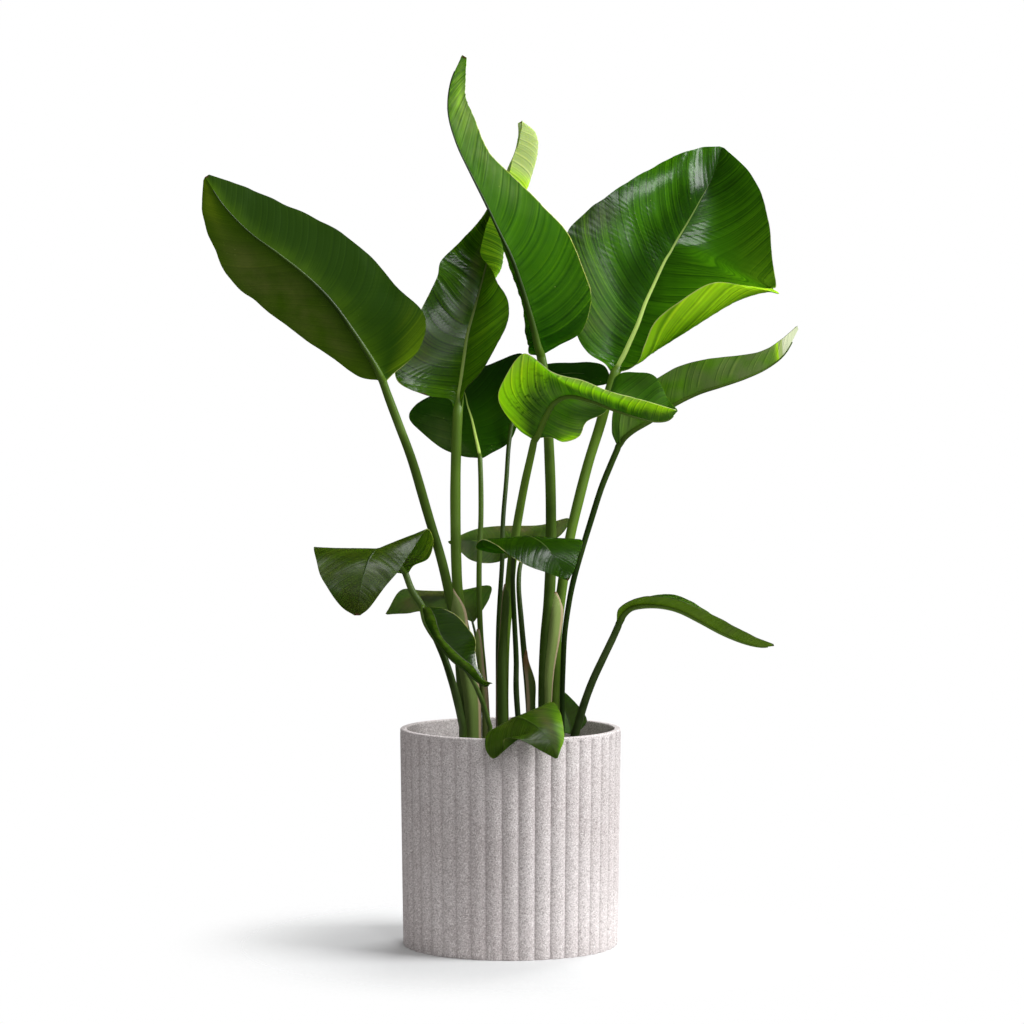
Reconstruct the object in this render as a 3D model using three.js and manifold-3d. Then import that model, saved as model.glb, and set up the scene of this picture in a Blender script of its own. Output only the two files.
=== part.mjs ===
// Potted giant white bird of paradise: a ribbed stone planter, a nursery pot with soil, and sixteen leaves.
// Millimetres, +Z up, the planter's axis on the origin, and the viewer of the front on the -Y side.
import * as THREE from 'three';
import Module from 'manifold-3d';

const wasm = await Module();
wasm.setup();

// Planter
const PLANTER_HEIGHT = 264;
const RIM_RADIUS = 134.5;
const FOOT_RADIUS = 131;
const WALL = 8.5;
const FLOOR = 12;
const INSIDE_TAPER = 2;
const LIP_HEIGHT = 5;
const LIP_RADIUS = 134.2;
const LIP_ROUNDING = 1.2;
const MOUTH_ROUNDING = 1.5;
const FOOT_ROUNDING = 1;
const RIB_COUNT = 42;
const RIB_DEPTH = 2.6;
const RIB_STEPS = 5;
const RIB_RUNOUT = 3;

// Nursery pot and soil
const GROW_POT_TOP = 236;
const GROW_POT_RADIUS = 122;
const GROW_POT_FOOT_RADIUS = 104;
const GROW_POT_WALL = 1.6;
const GROW_POT_LIP = 2.4;
const COLLAR_HEIGHT = 13;
const COLLAR_STEP = 1;
const DRAIN_COUNT = 8;
const DRAIN_RADIUS = 7;
const DRAIN_SPREAD = 0.7;
const DRAIN_SIDES = 16;
const SOIL_TOP = 226;
const SOIL_CROWN = 3;
const SOIL_LEDGE = 3;
const SOIL_EDGE_DROP = 1;
const SOIL_SHOULDER = 16;
const SEAT_GAP = 0.3;
const CUT_MARGIN = 1;
const ROUND_STEPS = 48;

// Rings of the soil's crown, as shares of its radius and of its height
const CROWN_RINGS = [[0.6, 0.6], [0.25, 1]];

// Plant
const STALK_FOOT = 150;
const STALK_SIDES = 8;
const STALK_STEPS = 8;
const HOLE_CLEARANCE = 0.5;
const BLADE_THICKNESS = 1;
const SHEATH_THICKNESS = 1.4;
const SHEATH_STEPS = 6;
const RIB_TIP_RADIUS = 0.7;
const RIB_TAPER = 1.15;
const RIB_DEPTH_RATIO = 1.6;
const RIB_WIDTH_RATIO = 1.3;
const RIB_SHARE_LIMIT = 0.7;
const RIB_COLUMN = 3;
const STALK_REACH = 0.1;
const STALK_END_RADIUS = 0.5;

// A leaf's points are [across, height, depth] in mm as the front view shows them on the plane through
// the planter's axis. The depth then moves each point along its line of sight, away from the eye.
const EYE_DISTANCE = 4250;
const EYE_HEIGHT = 700;

// Each blade row runs from the left margin over the midrib to the right margin. A row of five points
// also gives the middle of each half. The upper side is on the side of (along x across) times upper.
const LEAVES = {
  upper_left: {
    upper: 1,
    radii: [6.5, 4.9],
    steps: 17,
    stalk: [
      [-56, 265, -14], [-59, 311, -14], [-64, 372, -16], [-73, 420, -20], [-84, 469, -28],
      [-100, 523, -38], [-119, 588, -52], [-136, 634, -62], [-148, 666, -68], [-155, 686, -72],
    ],
    blade: [
      [[-159, 687, -71], [-155, 686, -72], [-151, 685, -71]],
      [[-184, 692, -66], [-162, 701, -77], [-143, 694, -66]],
      [[-216, 714, -66], [-176, 724, -84], [-112, 724, -62]],
      [[-248, 736, -68], [-196, 754, -93], [-104, 765, -64]],
      [[-280, 760, -74], [-219, 785, -102], [-137, 799, -72]],
      [[-310, 783, -84], [-248, 814, -112], [-176, 844, -84]],
      [[-336, 805, -98], [-282, 841, -122], [-222, 875, -98]],
      [[-359, 845, -112], [-316, 866, -132], [-270, 899, -113]],
      [[-373, 890, -128], [-347, 898, -142], [-321, 921, -129]],
      [[-372, 929, -150], [-370, 933, -152], [-365, 936, -150]],
    ],
    sheath: [
      [[-71, 432, -22], [-70, 434, -22], [-69, 432, -22]],
      [[-75, 406, -20], [-65, 408, -28], [-55, 408, -20]],
      [[-70, 370, -18], [-61, 372, -27], [-50, 372, -16]],
      [[-65, 336, -16], [-55, 338, -25], [-42, 338, -12]],
      [[-60, 298, -15], [-49, 299, -23], [-37, 299, -8]],
      [[-56, 256, -15], [-46, 256, -22], [-36, 256, -8]],
    ],
  },
  tall_rear_left: {
    upper: -1,
    radii: [6.8, 6.1],
    steps: 20,
    stalk: [
      [-44, 265, 2], [-44, 311, 2], [-54, 372, 2], [-63, 420, 4], [-66, 469, 8],
      [-67, 542, 15], [-66, 602, 20], [-64, 649, 24],
    ],
    blade: [
      [[-67, 647, 23], [-64, 649, 24], [-60, 650, 23]],
      [[-75, 664, 22], [-63, 668, 28], [-55, 674, 20]],
      [[-103, 669, 12], [-60, 687, 32], [-39, 692, 14]],
      [[-138, 687, 12], [-56, 714, 38], [-22, 720, 12]],
      [[-134, 724, 26], [-52, 742, 44], [-4, 755, 14]],
      [[-109, 772, 38], [-44, 771, 50], [-3, 779, 20]],
      [[-90, 809, 46], [-36, 799, 56], [-14, 804, 26]],
      [[-84, 832, 54], [-56, 830, 59], [-29, 828, 64], [-10, 826, 44], [-24, 823, 38]],
      [[-58, 858, 60], [-39, 858, 66], [-21, 858, 72], [-7, 850, 52], [-36, 843, 44]],
      [[-32, 889, 64], [-22, 890, 72], [-12, 892, 80], [4, 887, 62], [-29, 875, 54]],
      [[-14, 922, 74], [-5, 924, 80], [4, 926, 86], [22, 924, 72], [-9, 923, 64]],
      [[2, 955, 82], [11, 956, 86], [20, 958, 90], [32, 961, 80], [7, 964, 72]],
      [[9, 981, 86], [16, 984, 88], [24, 986, 90], [30, 986, 84], [13, 989, 80]],
      [[9, 998, 88], [13, 1000, 88], [14, 1001, 86]],
    ],
  },
  tall_centre: {
    upper: 1,
    radii: [7.4, 5.5],
    steps: 20,
    stalk: [
      [41, 265, -6], [41, 311, -6], [43, 372, -6], [47, 420, -7], [49, 469, -8],
      [49, 542, -11], [47, 602, -14], [44, 657, -17], [41, 694, -19], [37, 717, -20],
    ],
    blade: [
      [[33, 717, -19], [37, 717, -20], [41, 719, -19]],
      [[21, 721, -12], [33, 730, -24], [58, 729, -16]],
      [[24, 743, 6], [19, 738, -14], [29, 748, -29], [58, 748, -22], [87, 747, -14]],
      [[27, 777, 12], [15, 774, -16], [21, 777, -36], [60, 783, -25], [98, 788, -14]],
      [[26, 811, 14], [7, 804, -20], [12, 806, -43], [50, 814, -30], [88, 822, -18]],
      [[14, 845, 8], [-4, 837, -26], [1, 837, -50], [35, 851, -38], [69, 866, -26]],
      [[-1, 879, 0], [-16, 870, -34], [-14, 868, -56], [12, 885, -46], [37, 901, -36]],
      [[-20, 913, -8], [-30, 906, -42], [-30, 902, -62], [-15, 919, -54], [1, 936, -46]],
      [[-41, 947, -18], [-47, 941, -48], [-48, 938, -68], [-37, 951, -62], [-26, 964, -56]],
      [[-58, 983, -28], [-63, 977, -56], [-65, 974, -74], [-53, 987, -69], [-42, 1001, -64]],
      [[-66, 1018, -40], [-75, 1013, -64], [-75, 1011, -80], [-64, 1019, -76], [-53, 1028, -72]],
      [[-63, 1052, -58], [-70, 1049, -74], [-72, 1047, -84], [-63, 1051, -81], [-54, 1054, -78]],
      [[-60, 1077, -82], [-58, 1080, -86], [-53, 1077, -84]],
    ],
    sheath: [
      [[54, 430, -10], [55, 430, -10], [56, 430, -10]],
      [[48, 418, -10], [56, 418, -11], [61, 418, -5]],
      [[47, 402, -10], [55, 403, -13], [64, 404, -3]],
      [[44, 372, -10], [53, 374, -14], [60, 374, -3]],
      [[39, 330, -10], [48, 333, -14], [53, 334, -3]],
      [[39, 292, -10], [47, 294, -14], [50, 295, -4]],
      [[39, 256, -10], [47, 256, -14], [50, 256, -4]],
    ],
  },
  upper_right: {
    upper: -1,
    radii: [6.2, 6.2],
    steps: 20,
    stalk: [
      [54, 265, 8], [54, 311, 8], [56, 372, 8], [60, 414, 9], [66, 457, 12],
      [73, 499, 18], [83, 542, 25], [95, 588, 33], [109, 633, 39], [119, 670, 43],
      [127, 696, 46],
    ],
    blade: [
      [[122, 697, 45], [127, 696, 46], [132, 697, 44]],
      [[114, 707, 44], [132, 707, 50], [145, 701, 40]],
      [[94, 720, 50], [116, 719, 50], [138, 719, 55], [152, 707, 42], [156, 711, 32]],
      [[80, 742, 56], [112, 738, 53], [145, 735, 61], [172, 720, 42], [163, 729, 24]],
      [[71, 779, 61], [112, 766, 58], [154, 755, 67], [196, 735, 38], [177, 758, 16]],
      [[67, 821, 66], [116, 800, 64], [163, 780, 74], [230, 757, 34], [208, 783, 8]],
      [[70, 867, 73], [122, 836, 70], [174, 804, 81], [269, 781, 34], [246, 805, 6]],
      [[95, 893, 81], [142, 861, 78], [186, 830, 88], [301, 796, 40], [286, 802, 14]],
      [[111, 905, 86], [152, 875, 82], [194, 843, 92], [310, 798, 44], [312, 799, 26]],
      [[127, 917, 91], [163, 887, 86], [201, 856, 96], [269, 826, 78], [321, 803, 38]],
      [[161, 938, 101], [188, 909, 94], [216, 881, 103], [267, 864, 95], [316, 850, 62]],
      [[194, 956, 111], [212, 932, 104], [230, 906, 110], [269, 900, 105], [309, 898, 84]],
      [[228, 968, 120], [244, 932, 118], [290, 938, 106]],
      [[253, 970, 129], [256, 969, 130], [259, 968, 128]],
    ],
  },
  right_arching: {
    upper: -1,
    radii: [3.1, 3.9],
    steps: 16,
    stalk: [
      [63, 265, 26], [63, 299, 26], [64, 336, 27], [66, 378, 28], [71, 415, 29],
      [77, 445, 30], [87, 481, 32], [98, 517, 34], [110, 555, 36], [122, 585, 38],
      [131, 606, 40],
    ],
    blade: [
      [[128, 611, 44], [131, 607, 40], [134, 611, 36]],
      [[123, 627, 54], [135, 616, 38], [132, 634, 24]],
      [[128, 658, 70], [148, 627, 34], [139, 661, 14]],
      [[155, 675, 78], [171, 640, 28], [159, 680, 4]],
      [[186, 686, 76], [196, 657, 22], [183, 692, -2]],
      [[216, 697, 70], [227, 672, 18], [210, 706, -4]],
      [[247, 702, 62], [256, 681, 14], [241, 713, -4]],
      [[279, 707, 52], [286, 691, 12], [278, 717, 0]],
      [[308, 717, 40], [312, 703, 12], [309, 724, 2]],
      [[330, 734, 26], [333, 720, 12], [330, 738, 6]],
      [[346, 752, 16], [349, 749, 14], [348, 753, 12]],
    ],
  },
  centre_bright: {
    upper: 1,
    radii: [7, 4.2],
    steps: 16,
    stalk: [
      [-9, 265, -8], [-9, 311, -8], [-7, 372, -9], [-2, 424, -12], [2, 469, -19],
      [8, 511, -27], [17, 560, -37], [25, 596, -46], [29, 615, -52],
    ],
    blade: [
      [[26, 616, -52], [30, 615, -52], [33, 617, -51]],
      [[7, 630, -64], [35, 626, -58], [49, 618, -48]],
      [[-14, 661, -76], [43, 644, -66], [65, 612, -46]],
      [[-9, 687, -88], [54, 661, -76], [83, 619, -46]],
      [[16, 719, -100], [72, 668, -86], [92, 636, -44]],
      [[49, 697, -112], [97, 663, -95], [117, 651, -44]],
      [[86, 687, -120], [123, 653, -102], [128, 690, -48]],
      [[118, 674, -124], [149, 644, -107], [152, 697, -60]],
      [[150, 666, -124], [172, 638, -109], [176, 691, -74]],
      [[177, 658, -121], [191, 639, -110], [191, 664, -92]],
      [[201, 651, -113], [203, 650, -110], [202, 652, -106]],
    ],
    sheath: [
      [[-8, 438, -15], [-6, 440, -16], [-4, 438, -16]],
      [[-10, 420, -6], [-7, 420, -16], [-1, 420, -19]],
      [[-13, 379, -3], [-10, 379, -15], [-4, 379, -17]],
      [[-16, 345, -2], [-13, 345, -15], [-5, 345, -16]],
      [[-17, 306, -2], [-13, 306, -15], [-5, 306, -16]],
      [[-16, 256, -2], [-13, 256, -15], [-5, 256, -16]],
    ],
  },
  dark_middle: {
    upper: -1,
    radii: [3.8, 3],
    steps: 14,
    stalk: [
      [-29, 265, 6], [-30, 299, 6], [-33, 338, 6], [-36, 372, 7], [-38, 420, 9],
      [-38, 469, 14], [-36, 517, 22], [-36, 560, 30], [-37, 593, 38],
    ],
    blade: [
      [[-41, 593, 38], [-37, 593, 38], [-33, 593, 38]],
      [[-59, 595, 44], [-39, 604, 46], [-24, 598, 46]],
      [[-83, 604, 54], [-43, 622, 60], [-3, 611, 60]],
      [[-106, 622, 68], [-47, 640, 76], [8, 633, 76]],
      [[-123, 640, 86], [-52, 656, 94], [13, 663, 90]],
      [[-118, 655, 106], [-55, 670, 112], [15, 694, 104]],
      [[-103, 664, 124], [-60, 683, 130], [13, 719, 122]],
      [[-86, 674, 142], [-65, 690, 146], [-22, 707, 140]],
      [[-73, 690, 160], [-71, 691, 160], [-67, 692, 160]],
    ],
    sheath: [
      [[-41, 384, 4], [-39, 385, 3], [-38, 384, 3]],
      [[-43, 364, 6], [-38, 366, 2], [-35, 366, 4]],
      [[-39, 334, 6], [-36, 335, 1], [-31, 335, 4]],
      [[-35, 298, 4], [-32, 299, 0], [-27, 299, 4]],
      [[-34, 256, 4], [-30, 256, 0], [-24, 256, 4]],
    ],
  },
  left_saddle: {
    upper: 1,
    radii: [4.8, 4],
    steps: 14,
    stalk: [
      [-58, 265, -34], [-64, 293, -36], [-72, 323, -38], [-82, 353, -40], [-94, 381, -42],
      [-107, 411, -42], [-120, 432, -40], [-128, 453, -38],
    ],
    blade: [
      [[-131, 452, -38], [-128, 453, -38], [-124, 453, -38]],
      [[-151, 455, -38], [-134, 462, -44], [-117, 462, -46]],
      [[-180, 462, -40], [-143, 470, -54], [-99, 471, -50]],
      [[-213, 472, -48], [-152, 479, -64], [-93, 493, -52]],
      [[-234, 483, -64], [-162, 482, -74], [-101, 506, -60]],
      [[-239, 481, -84], [-171, 472, -86], [-120, 480, -74]],
      [[-234, 457, -98], [-178, 453, -96], [-135, 457, -88]],
      [[-223, 435, -105], [-183, 432, -102], [-154, 434, -98]],
      [[-205, 411, -106], [-185, 414, -105], [-171, 411, -103]],
      [[-190, 401, -105], [-186, 401, -105], [-183, 401, -105]],
    ],
  },
  low_rear_left: {
    upper: -1,
    radii: [2, 1.4],
    steps: 11,
    stalk: [
      [-37, 265, 16], [-37, 311, 16], [-39, 353, 17], [-43, 379, 22], [-46, 392, 28],
    ],
    blade: [
      [[-47, 394, 29], [-46, 392, 28], [-43, 395, 28]],
      [[-63, 398, 30], [-50, 406, 32], [-33, 409, 30]],
      [[-77, 401, 32], [-61, 415, 37], [-25, 424, 36]],
      [[-93, 403, 34], [-77, 421, 42], [-26, 437, 46]],
      [[-110, 406, 34], [-97, 424, 44], [-64, 431, 56]],
      [[-123, 404, 34], [-115, 423, 42], [-105, 431, 54]],
      [[-137, 403, 34], [-132, 417, 38], [-133, 432, 46]],
      [[-150, 402, 34], [-152, 403, 34], [-150, 406, 36]],
    ],
  },
  low_front_left: {
    upper: 1,
    radii: [3, 2.6],
    steps: 14,
    stalk: [
      [-25, 265, -40], [-33, 292, -44], [-44, 318, -48], [-58, 341, -52], [-75, 364, -56],
      [-92, 389, -58], [-103, 406, -60], [-107, 412, -63],
    ],
    blade: [
      [[-109, 409, -63], [-107, 412, -63], [-104, 413, -63]],
      [[-100, 412, -78], [-106, 403, -70], [-95, 411, -62]],
      [[-93, 401, -86], [-103, 391, -74], [-81, 409, -60]],
      [[-88, 385, -91], [-94, 375, -76], [-65, 401, -60]],
      [[-82, 373, -92], [-83, 361, -77], [-52, 386, -62]],
      [[-71, 361, -93], [-70, 346, -78], [-43, 372, -64]],
      [[-56, 347, -92], [-56, 335, -79], [-43, 356, -66]],
      [[-46, 339, -90], [-43, 323, -80], [-42, 341, -70]],
      [[-35, 324, -87], [-31, 315, -81], [-32, 323, -76]],
      [[-25, 319, -83], [-24, 318, -82], [-22, 318, -81]],
    ],
  },
  middle_front: {
    upper: 1,
    radii: [3.6, 2.6],
    steps: 13,
    stalk: [
      [10, 265, -14], [7, 311, -15], [7, 347, -17], [5, 390, -21], [3, 432, -29],
      [3, 459, -38], [4, 477, -45],
    ],
    blade: [
      [[1, 477, -45], [4, 477, -45], [8, 479, -45]],
      [[-20, 477, -46], [7, 487, -50], [20, 489, -38]],
      [[-42, 483, -50], [12, 494, -56], [43, 493, -36]],
      [[-35, 493, -64], [20, 498, -63], [69, 493, -42]],
      [[-18, 487, -76], [31, 494, -70], [86, 493, -54]],
      [[2, 472, -84], [42, 486, -76], [86, 482, -64]],
      [[25, 460, -88], [52, 474, -81], [82, 471, -72]],
      [[47, 452, -89], [61, 460, -84], [78, 458, -80]],
      [[66, 445, -86], [70, 443, -86], [72, 446, -86]],
    ],
  },
  middle_rear: {
    upper: -1,
    radii: [4.4, 2.2],
    steps: 12,
    stalk: [
      [24, 265, 8], [22, 299, 8], [18, 341, 10], [13, 396, 15], [10, 438, 24],
      [13, 466, 34], [24, 482, 44],
    ],
    blade: [
      [[22, 481, 44], [25, 482, 44], [27, 483, 45]],
      [[5, 474, 46], [18, 485, 50], [60, 498, 62]],
      [[-5, 471, 48], [4, 487, 55], [71, 519, 78]],
      [[-16, 466, 50], [-13, 489, 59], [37, 511, 88]],
      [[-32, 465, 50], [-30, 491, 60], [-4, 510, 88]],
      [[-49, 469, 50], [-46, 492, 58], [-32, 508, 80]],
      [[-61, 479, 49], [-61, 492, 54], [-53, 502, 68]],
      [[-75, 489, 50], [-76, 491, 50], [-73, 492, 52]],
    ],
    sheath: [
      [[18, 358, 4], [19, 360, 4], [20, 358, 4]],
      [[16, 345, 4], [20, 345, 2], [22, 345, 4]],
      [[19, 319, 3], [25, 319, 1], [30, 319, 4]],
      [[20, 292, 2], [26, 292, 0], [30, 292, 3]],
      [[20, 256, 2], [26, 256, 0], [31, 256, 3]],
    ],
  },
  low_rear_right: {
    upper: -1,
    radii: [2.6, 2.2],
    steps: 9,
    stalk: [
      [76, 250, 30], [76, 255, 30], [76, 260, 31],
    ],
    blade: [
      [[72, 256, 31], [76, 257, 31], [80, 257, 31]],
      [[55, 262, 30], [73, 265, 34], [88, 264, 28]],
      [[47, 278, 32], [70, 276, 38], [93, 273, 30]],
      [[43, 294, 38], [65, 288, 42], [87, 285, 34]],
      [[42, 306, 43], [59, 299, 45], [76, 298, 40]],
      [[42, 315, 46], [53, 309, 47], [64, 309, 44]],
      [[44, 318, 48], [47, 317, 48], [49, 317, 48]],
    ],
  },
  dark_rear: {
    upper: -1,
    radii: [3, 2.7],
    steps: 12,
    stalk: [
      [-15, 265, 6], [-15, 311, 6], [-15, 372, 7], [-13, 420, 10], [-10, 469, 18],
      [-9, 517, 28], [-5, 566, 40], [-2, 609, 52], [3, 639, 62], [10, 661, 70],
    ],
    blade: [
      [[8, 663, 71], [10, 661, 70], [13, 660, 70]],
      [[7, 687, 84], [19, 674, 76], [29, 661, 70]],
      [[25, 701, 96], [31, 684, 82], [46, 664, 70]],
      [[47, 707, 106], [48, 691, 88], [63, 670, 70]],
      [[72, 708, 110], [67, 695, 90], [80, 675, 70]],
      [[97, 709, 108], [87, 695, 88], [97, 679, 70]],
      [[114, 704, 98], [105, 692, 84], [111, 681, 72]],
      [[122, 690, 80], [122, 686, 78], [121, 684, 76]],
    ],
  },
  rim_front: {
    upper: 1,
    radii: [3, 2.6],
    steps: 14,
    stalk: [
      [15, 265, -84], [14, 256, -90], [9, 256, -98], [3, 261, -104],
    ],
    blade: [
      [[-1, 262, -106], [2, 264, -106], [5, 264, -105]],
      [[-21, 262, -118], [-1, 271, -112], [12, 276, -104]],
      [[-30, 253, -132], [3, 276, -120], [29, 285, -110]],
      [[-30, 237, -142], [12, 276, -129], [50, 295, -118]],
      [[-21, 226, -148], [21, 272, -137], [59, 285, -128]],
      [[-9, 236, -151], [31, 266, -143], [63, 274, -137]],
      [[-7, 250, -152], [39, 259, -147], [65, 261, -143]],
      [[12, 249, -154], [47, 249, -150], [65, 248, -147]],
      [[36, 236, -154], [52, 238, -152], [61, 237, -150]],
      [[53, 227, -153], [55, 226, -153], [58, 227, -153]],
    ],
  },
  low_right: {
    upper: -1,
    radii: [5.2, 4.2],
    steps: 16,
    stalk: [
      [77, 250, -6], [82, 267, -7], [90, 294, -9], [100, 321, -11], [112, 347, -13],
      [124, 372, -15], [132, 390, -17],
    ],
    blade: [
      [[134, 392, -15], [132, 391, -17], [129, 394, -18]],
      [[140, 406, -2], [135, 401, -18], [132, 409, -28]],
      [[156, 418, 10], [146, 411, -20], [148, 420, -34]],
      [[174, 425, 16], [163, 414, -23], [167, 424, -38]],
      [[197, 426, 18], [184, 413, -26], [186, 423, -42]],
      [[218, 419, 16], [206, 407, -29], [208, 418, -45]],
      [[239, 406, 8], [231, 394, -33], [233, 408, -49]],
      [[263, 390, -4], [258, 379, -37], [257, 396, -52]],
      [[286, 378, -18], [284, 368, -42], [280, 383, -54]],
      [[307, 369, -34], [305, 363, -47], [303, 373, -54]],
      [[320, 366, -50], [321, 364, -50], [320, 366, -52]],
    ],
  },
};

function place([across, height, depth]) {
  const scale = 1 + depth / EYE_DISTANCE;
  return new THREE.Vector3(across * scale, depth, EYE_HEIGHT + (height - EYE_HEIGHT) * scale);
}

function between(a, b, share) {
  return a.clone().lerp(b, share);
}

// A smooth curve through the points, read at a share of its point count
function curvePoint(points, share) {
  const last = points.length - 1;
  const position = Math.min(Math.max(share, 0), 1) * last;
  const index = Math.min(Math.floor(position), last - 1);
  const t = position - index;
  const b = points[index];
  const c = points[index + 1];
  const a = index > 0 ? points[index - 1] : b.clone().multiplyScalar(2).sub(c);
  const d = index + 2 <= last ? points[index + 2] : c.clone().multiplyScalar(2).sub(b);
  const along = c.clone().sub(a).multiplyScalar(0.5);
  const next = d.clone().sub(b).multiplyScalar(0.5);
  const t2 = t * t;
  const t3 = t2 * t;
  return b.clone().multiplyScalar(2 * t3 - 3 * t2 + 1)
    .addScaledVector(along, t3 - 2 * t2 + t)
    .addScaledVector(c, -2 * t3 + 3 * t2)
    .addScaledVector(next, t3 - t2);
}

// The quadratic through three points at shares 0, 1/2 and 1
function archPoint(a, b, c, share) {
  return a.clone().multiplyScalar(2 * (share - 0.5) * (share - 1))
    .addScaledVector(b, 4 * share * (1 - share))
    .addScaledVector(c, 2 * share * (share - 0.5));
}

function fullRow(row) {
  const points = row.map(place);
  if (points.length === 5) {
    return points;
  }
  const [left, middle, right] = points;
  return [left, between(left, middle, 0.5), middle, between(middle, right, 0.5), right];
}

// The five point columns of a leaf or sheath, read at a share of its length
function crossSection(rows, share) {
  return [0, 1, 2, 3, 4].map((column) => curvePoint(rows.map((row) => row[column]), share));
}

// Radius of the midrib at a share of the blade's length
function midribRadius(leaf, share) {
  return RIB_TIP_RADIUS + (leaf.radii[1] - RIB_TIP_RADIUS) * (1 - share) ** RIB_TAPER;
}

// Rows of seven points: margin, middle and foot of the rib on each side, and the midrib between them
function bladeGrid(leaf) {
  const rows = leaf.blade.map(fullRow);
  const grid = [];
  for (let i = 0; i <= leaf.steps; i += 1) {
    const share = i / leaf.steps;
    const [left, leftMiddle, middle, rightMiddle, right] = crossSection(rows, share);
    const reach = RIB_WIDTH_RATIO * midribRadius(leaf, share);
    const leftShare = Math.max(1 - reach / left.distanceTo(middle), RIB_SHARE_LIMIT);
    const rightShare = Math.max(1 - reach / right.distanceTo(middle), RIB_SHARE_LIMIT);
    grid.push([
      left,
      leftMiddle,
      archPoint(left, leftMiddle, middle, leftShare),
      middle,
      archPoint(right, rightMiddle, middle, rightShare),
      rightMiddle,
      right,
    ]);
  }
  return grid;
}

function sheathGrid(rows) {
  const full = rows.map(fullRow);
  const grid = [];
  for (let i = 0; i <= SHEATH_STEPS; i += 1) {
    const [left, , middle, , right] = crossSection(full, i / SHEATH_STEPS);
    grid.push([left, middle, right]);
  }
  return grid;
}

function gridNormal(grid, i, j) {
  const before = grid[Math.max(i - 1, 0)][j];
  const after = grid[Math.min(i + 1, grid.length - 1)][j];
  const left = grid[i][Math.max(j - 1, 0)];
  const right = grid[i][Math.min(j + 1, grid[i].length - 1)];
  const along = after.clone().sub(before);
  const across = right.clone().sub(left);
  return along.cross(across).normalize();
}

function solidFrom(vertices, triangles) {
  const mesh = new wasm.Mesh({
    numProp: 3,
    vertProperties: new Float32Array(vertices.flatMap((v) => [v.x, v.y, v.z])),
    triVerts: new Uint32Array(triangles.flat()),
  });
  return new wasm.Manifold(mesh);
}

// The points on the border of a grid, numbered row by row and listed once round
function borderOf(rows, columns) {
  const border = [];
  for (let j = 0; j < columns - 1; j += 1) {
    border.push(j);
  }
  for (let i = 0; i < rows - 1; i += 1) {
    border.push(i * columns + columns - 1);
  }
  for (let j = columns - 1; j > 0; j -= 1) {
    border.push((rows - 1) * columns + j);
  }
  for (let i = rows - 1; i > 0; i -= 1) {
    border.push(i * columns);
  }
  return border;
}

// A thin closed plate on a grid of points, with both faces split alike. over and under are rules that
// give its reaches from the grid on its two sides at row i and column j.
function plateSolid(grid, over, under) {
  const rows = grid.length;
  const columns = grid[0].length;
  const count = rows * columns;
  const top = [];
  const bottom = [];
  for (let i = 0; i < rows; i += 1) {
    for (let j = 0; j < columns; j += 1) {
      const normal = gridNormal(grid, i, j);
      top.push(grid[i][j].clone().addScaledVector(normal, over(i, j)));
      bottom.push(grid[i][j].clone().addScaledVector(normal, -under(i, j)));
    }
  }
  const at = (i, j) => i * columns + j;
  const triangles = [];
  for (let i = 0; i < rows - 1; i += 1) {
    for (let j = 0; j < columns - 1; j += 1) {
      const [a, b, c, d] = [at(i, j), at(i + 1, j), at(i + 1, j + 1), at(i, j + 1)];
      triangles.push([a, b, c], [a, c, d]);
      triangles.push([a + count, c + count, b + count], [a + count, d + count, c + count]);
    }
  }
  const border = borderOf(rows, columns);
  border.forEach((here, index) => {
    const next = border[(index + 1) % border.length];
    triangles.push([here, next, next + count], [here, next + count, here + count]);
  });
  return solidFrom([...top, ...bottom], triangles);
}

// A closed tube of round sections, with its ends flat
function tubeSolid(points, radii, sides = STALK_SIDES) {
  const vertices = [];
  let side = new THREE.Vector3(1, 0, 0);
  points.forEach((point, index) => {
    const before = points[Math.max(index - 1, 0)];
    const after = points[Math.min(index + 1, points.length - 1)];
    const along = after.clone().sub(before).normalize();
    side = side.clone().addScaledVector(along, -side.dot(along)).normalize();
    const up = along.clone().cross(side);
    for (let k = 0; k < sides; k += 1) {
      const angle = (2 * Math.PI * k) / sides;
      vertices.push(point.clone()
        .addScaledVector(side, Math.cos(angle) * radii[index])
        .addScaledVector(up, Math.sin(angle) * radii[index]));
    }
  });
  const triangles = [];
  for (let i = 0; i < points.length - 1; i += 1) {
    for (let k = 0; k < sides; k += 1) {
      const a = i * sides + k;
      const b = i * sides + ((k + 1) % sides);
      triangles.push([a, b, b + sides], [a, b + sides, a + sides]);
    }
  }
  const last = (points.length - 1) * sides;
  for (let k = 1; k < sides - 1; k += 1) {
    triangles.push([0, k + 1, k], [last, last + k, last + k + 1]);
  }
  return solidFrom(vertices, triangles);
}

// The stalk from its foot in the soil to its end inside the midrib
function stalkSolid(leaf) {
  const stalk = leaf.stalk.map(place);
  const foot = new THREE.Vector3(stalk[0].x, stalk[0].y, STALK_FOOT);
  const entry = new THREE.Vector3(stalk[0].x, stalk[0].y, SOIL_TOP + 2 * SOIL_CROWN);
  const middle = leaf.blade.map((row) => place(row[(row.length - 1) / 2]));
  const [base, top] = leaf.radii;
  const points = [foot, entry];
  const radii = [base, base];
  for (let i = 0; i <= STALK_STEPS; i += 1) {
    points.push(curvePoint(stalk, i / STALK_STEPS));
    radii.push(base + ((top - base) * i) / STALK_STEPS);
  }
  points.push(curvePoint(middle, STALK_REACH));
  radii.push(STALK_END_RADIUS);
  return tubeSolid(points, radii);
}

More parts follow.
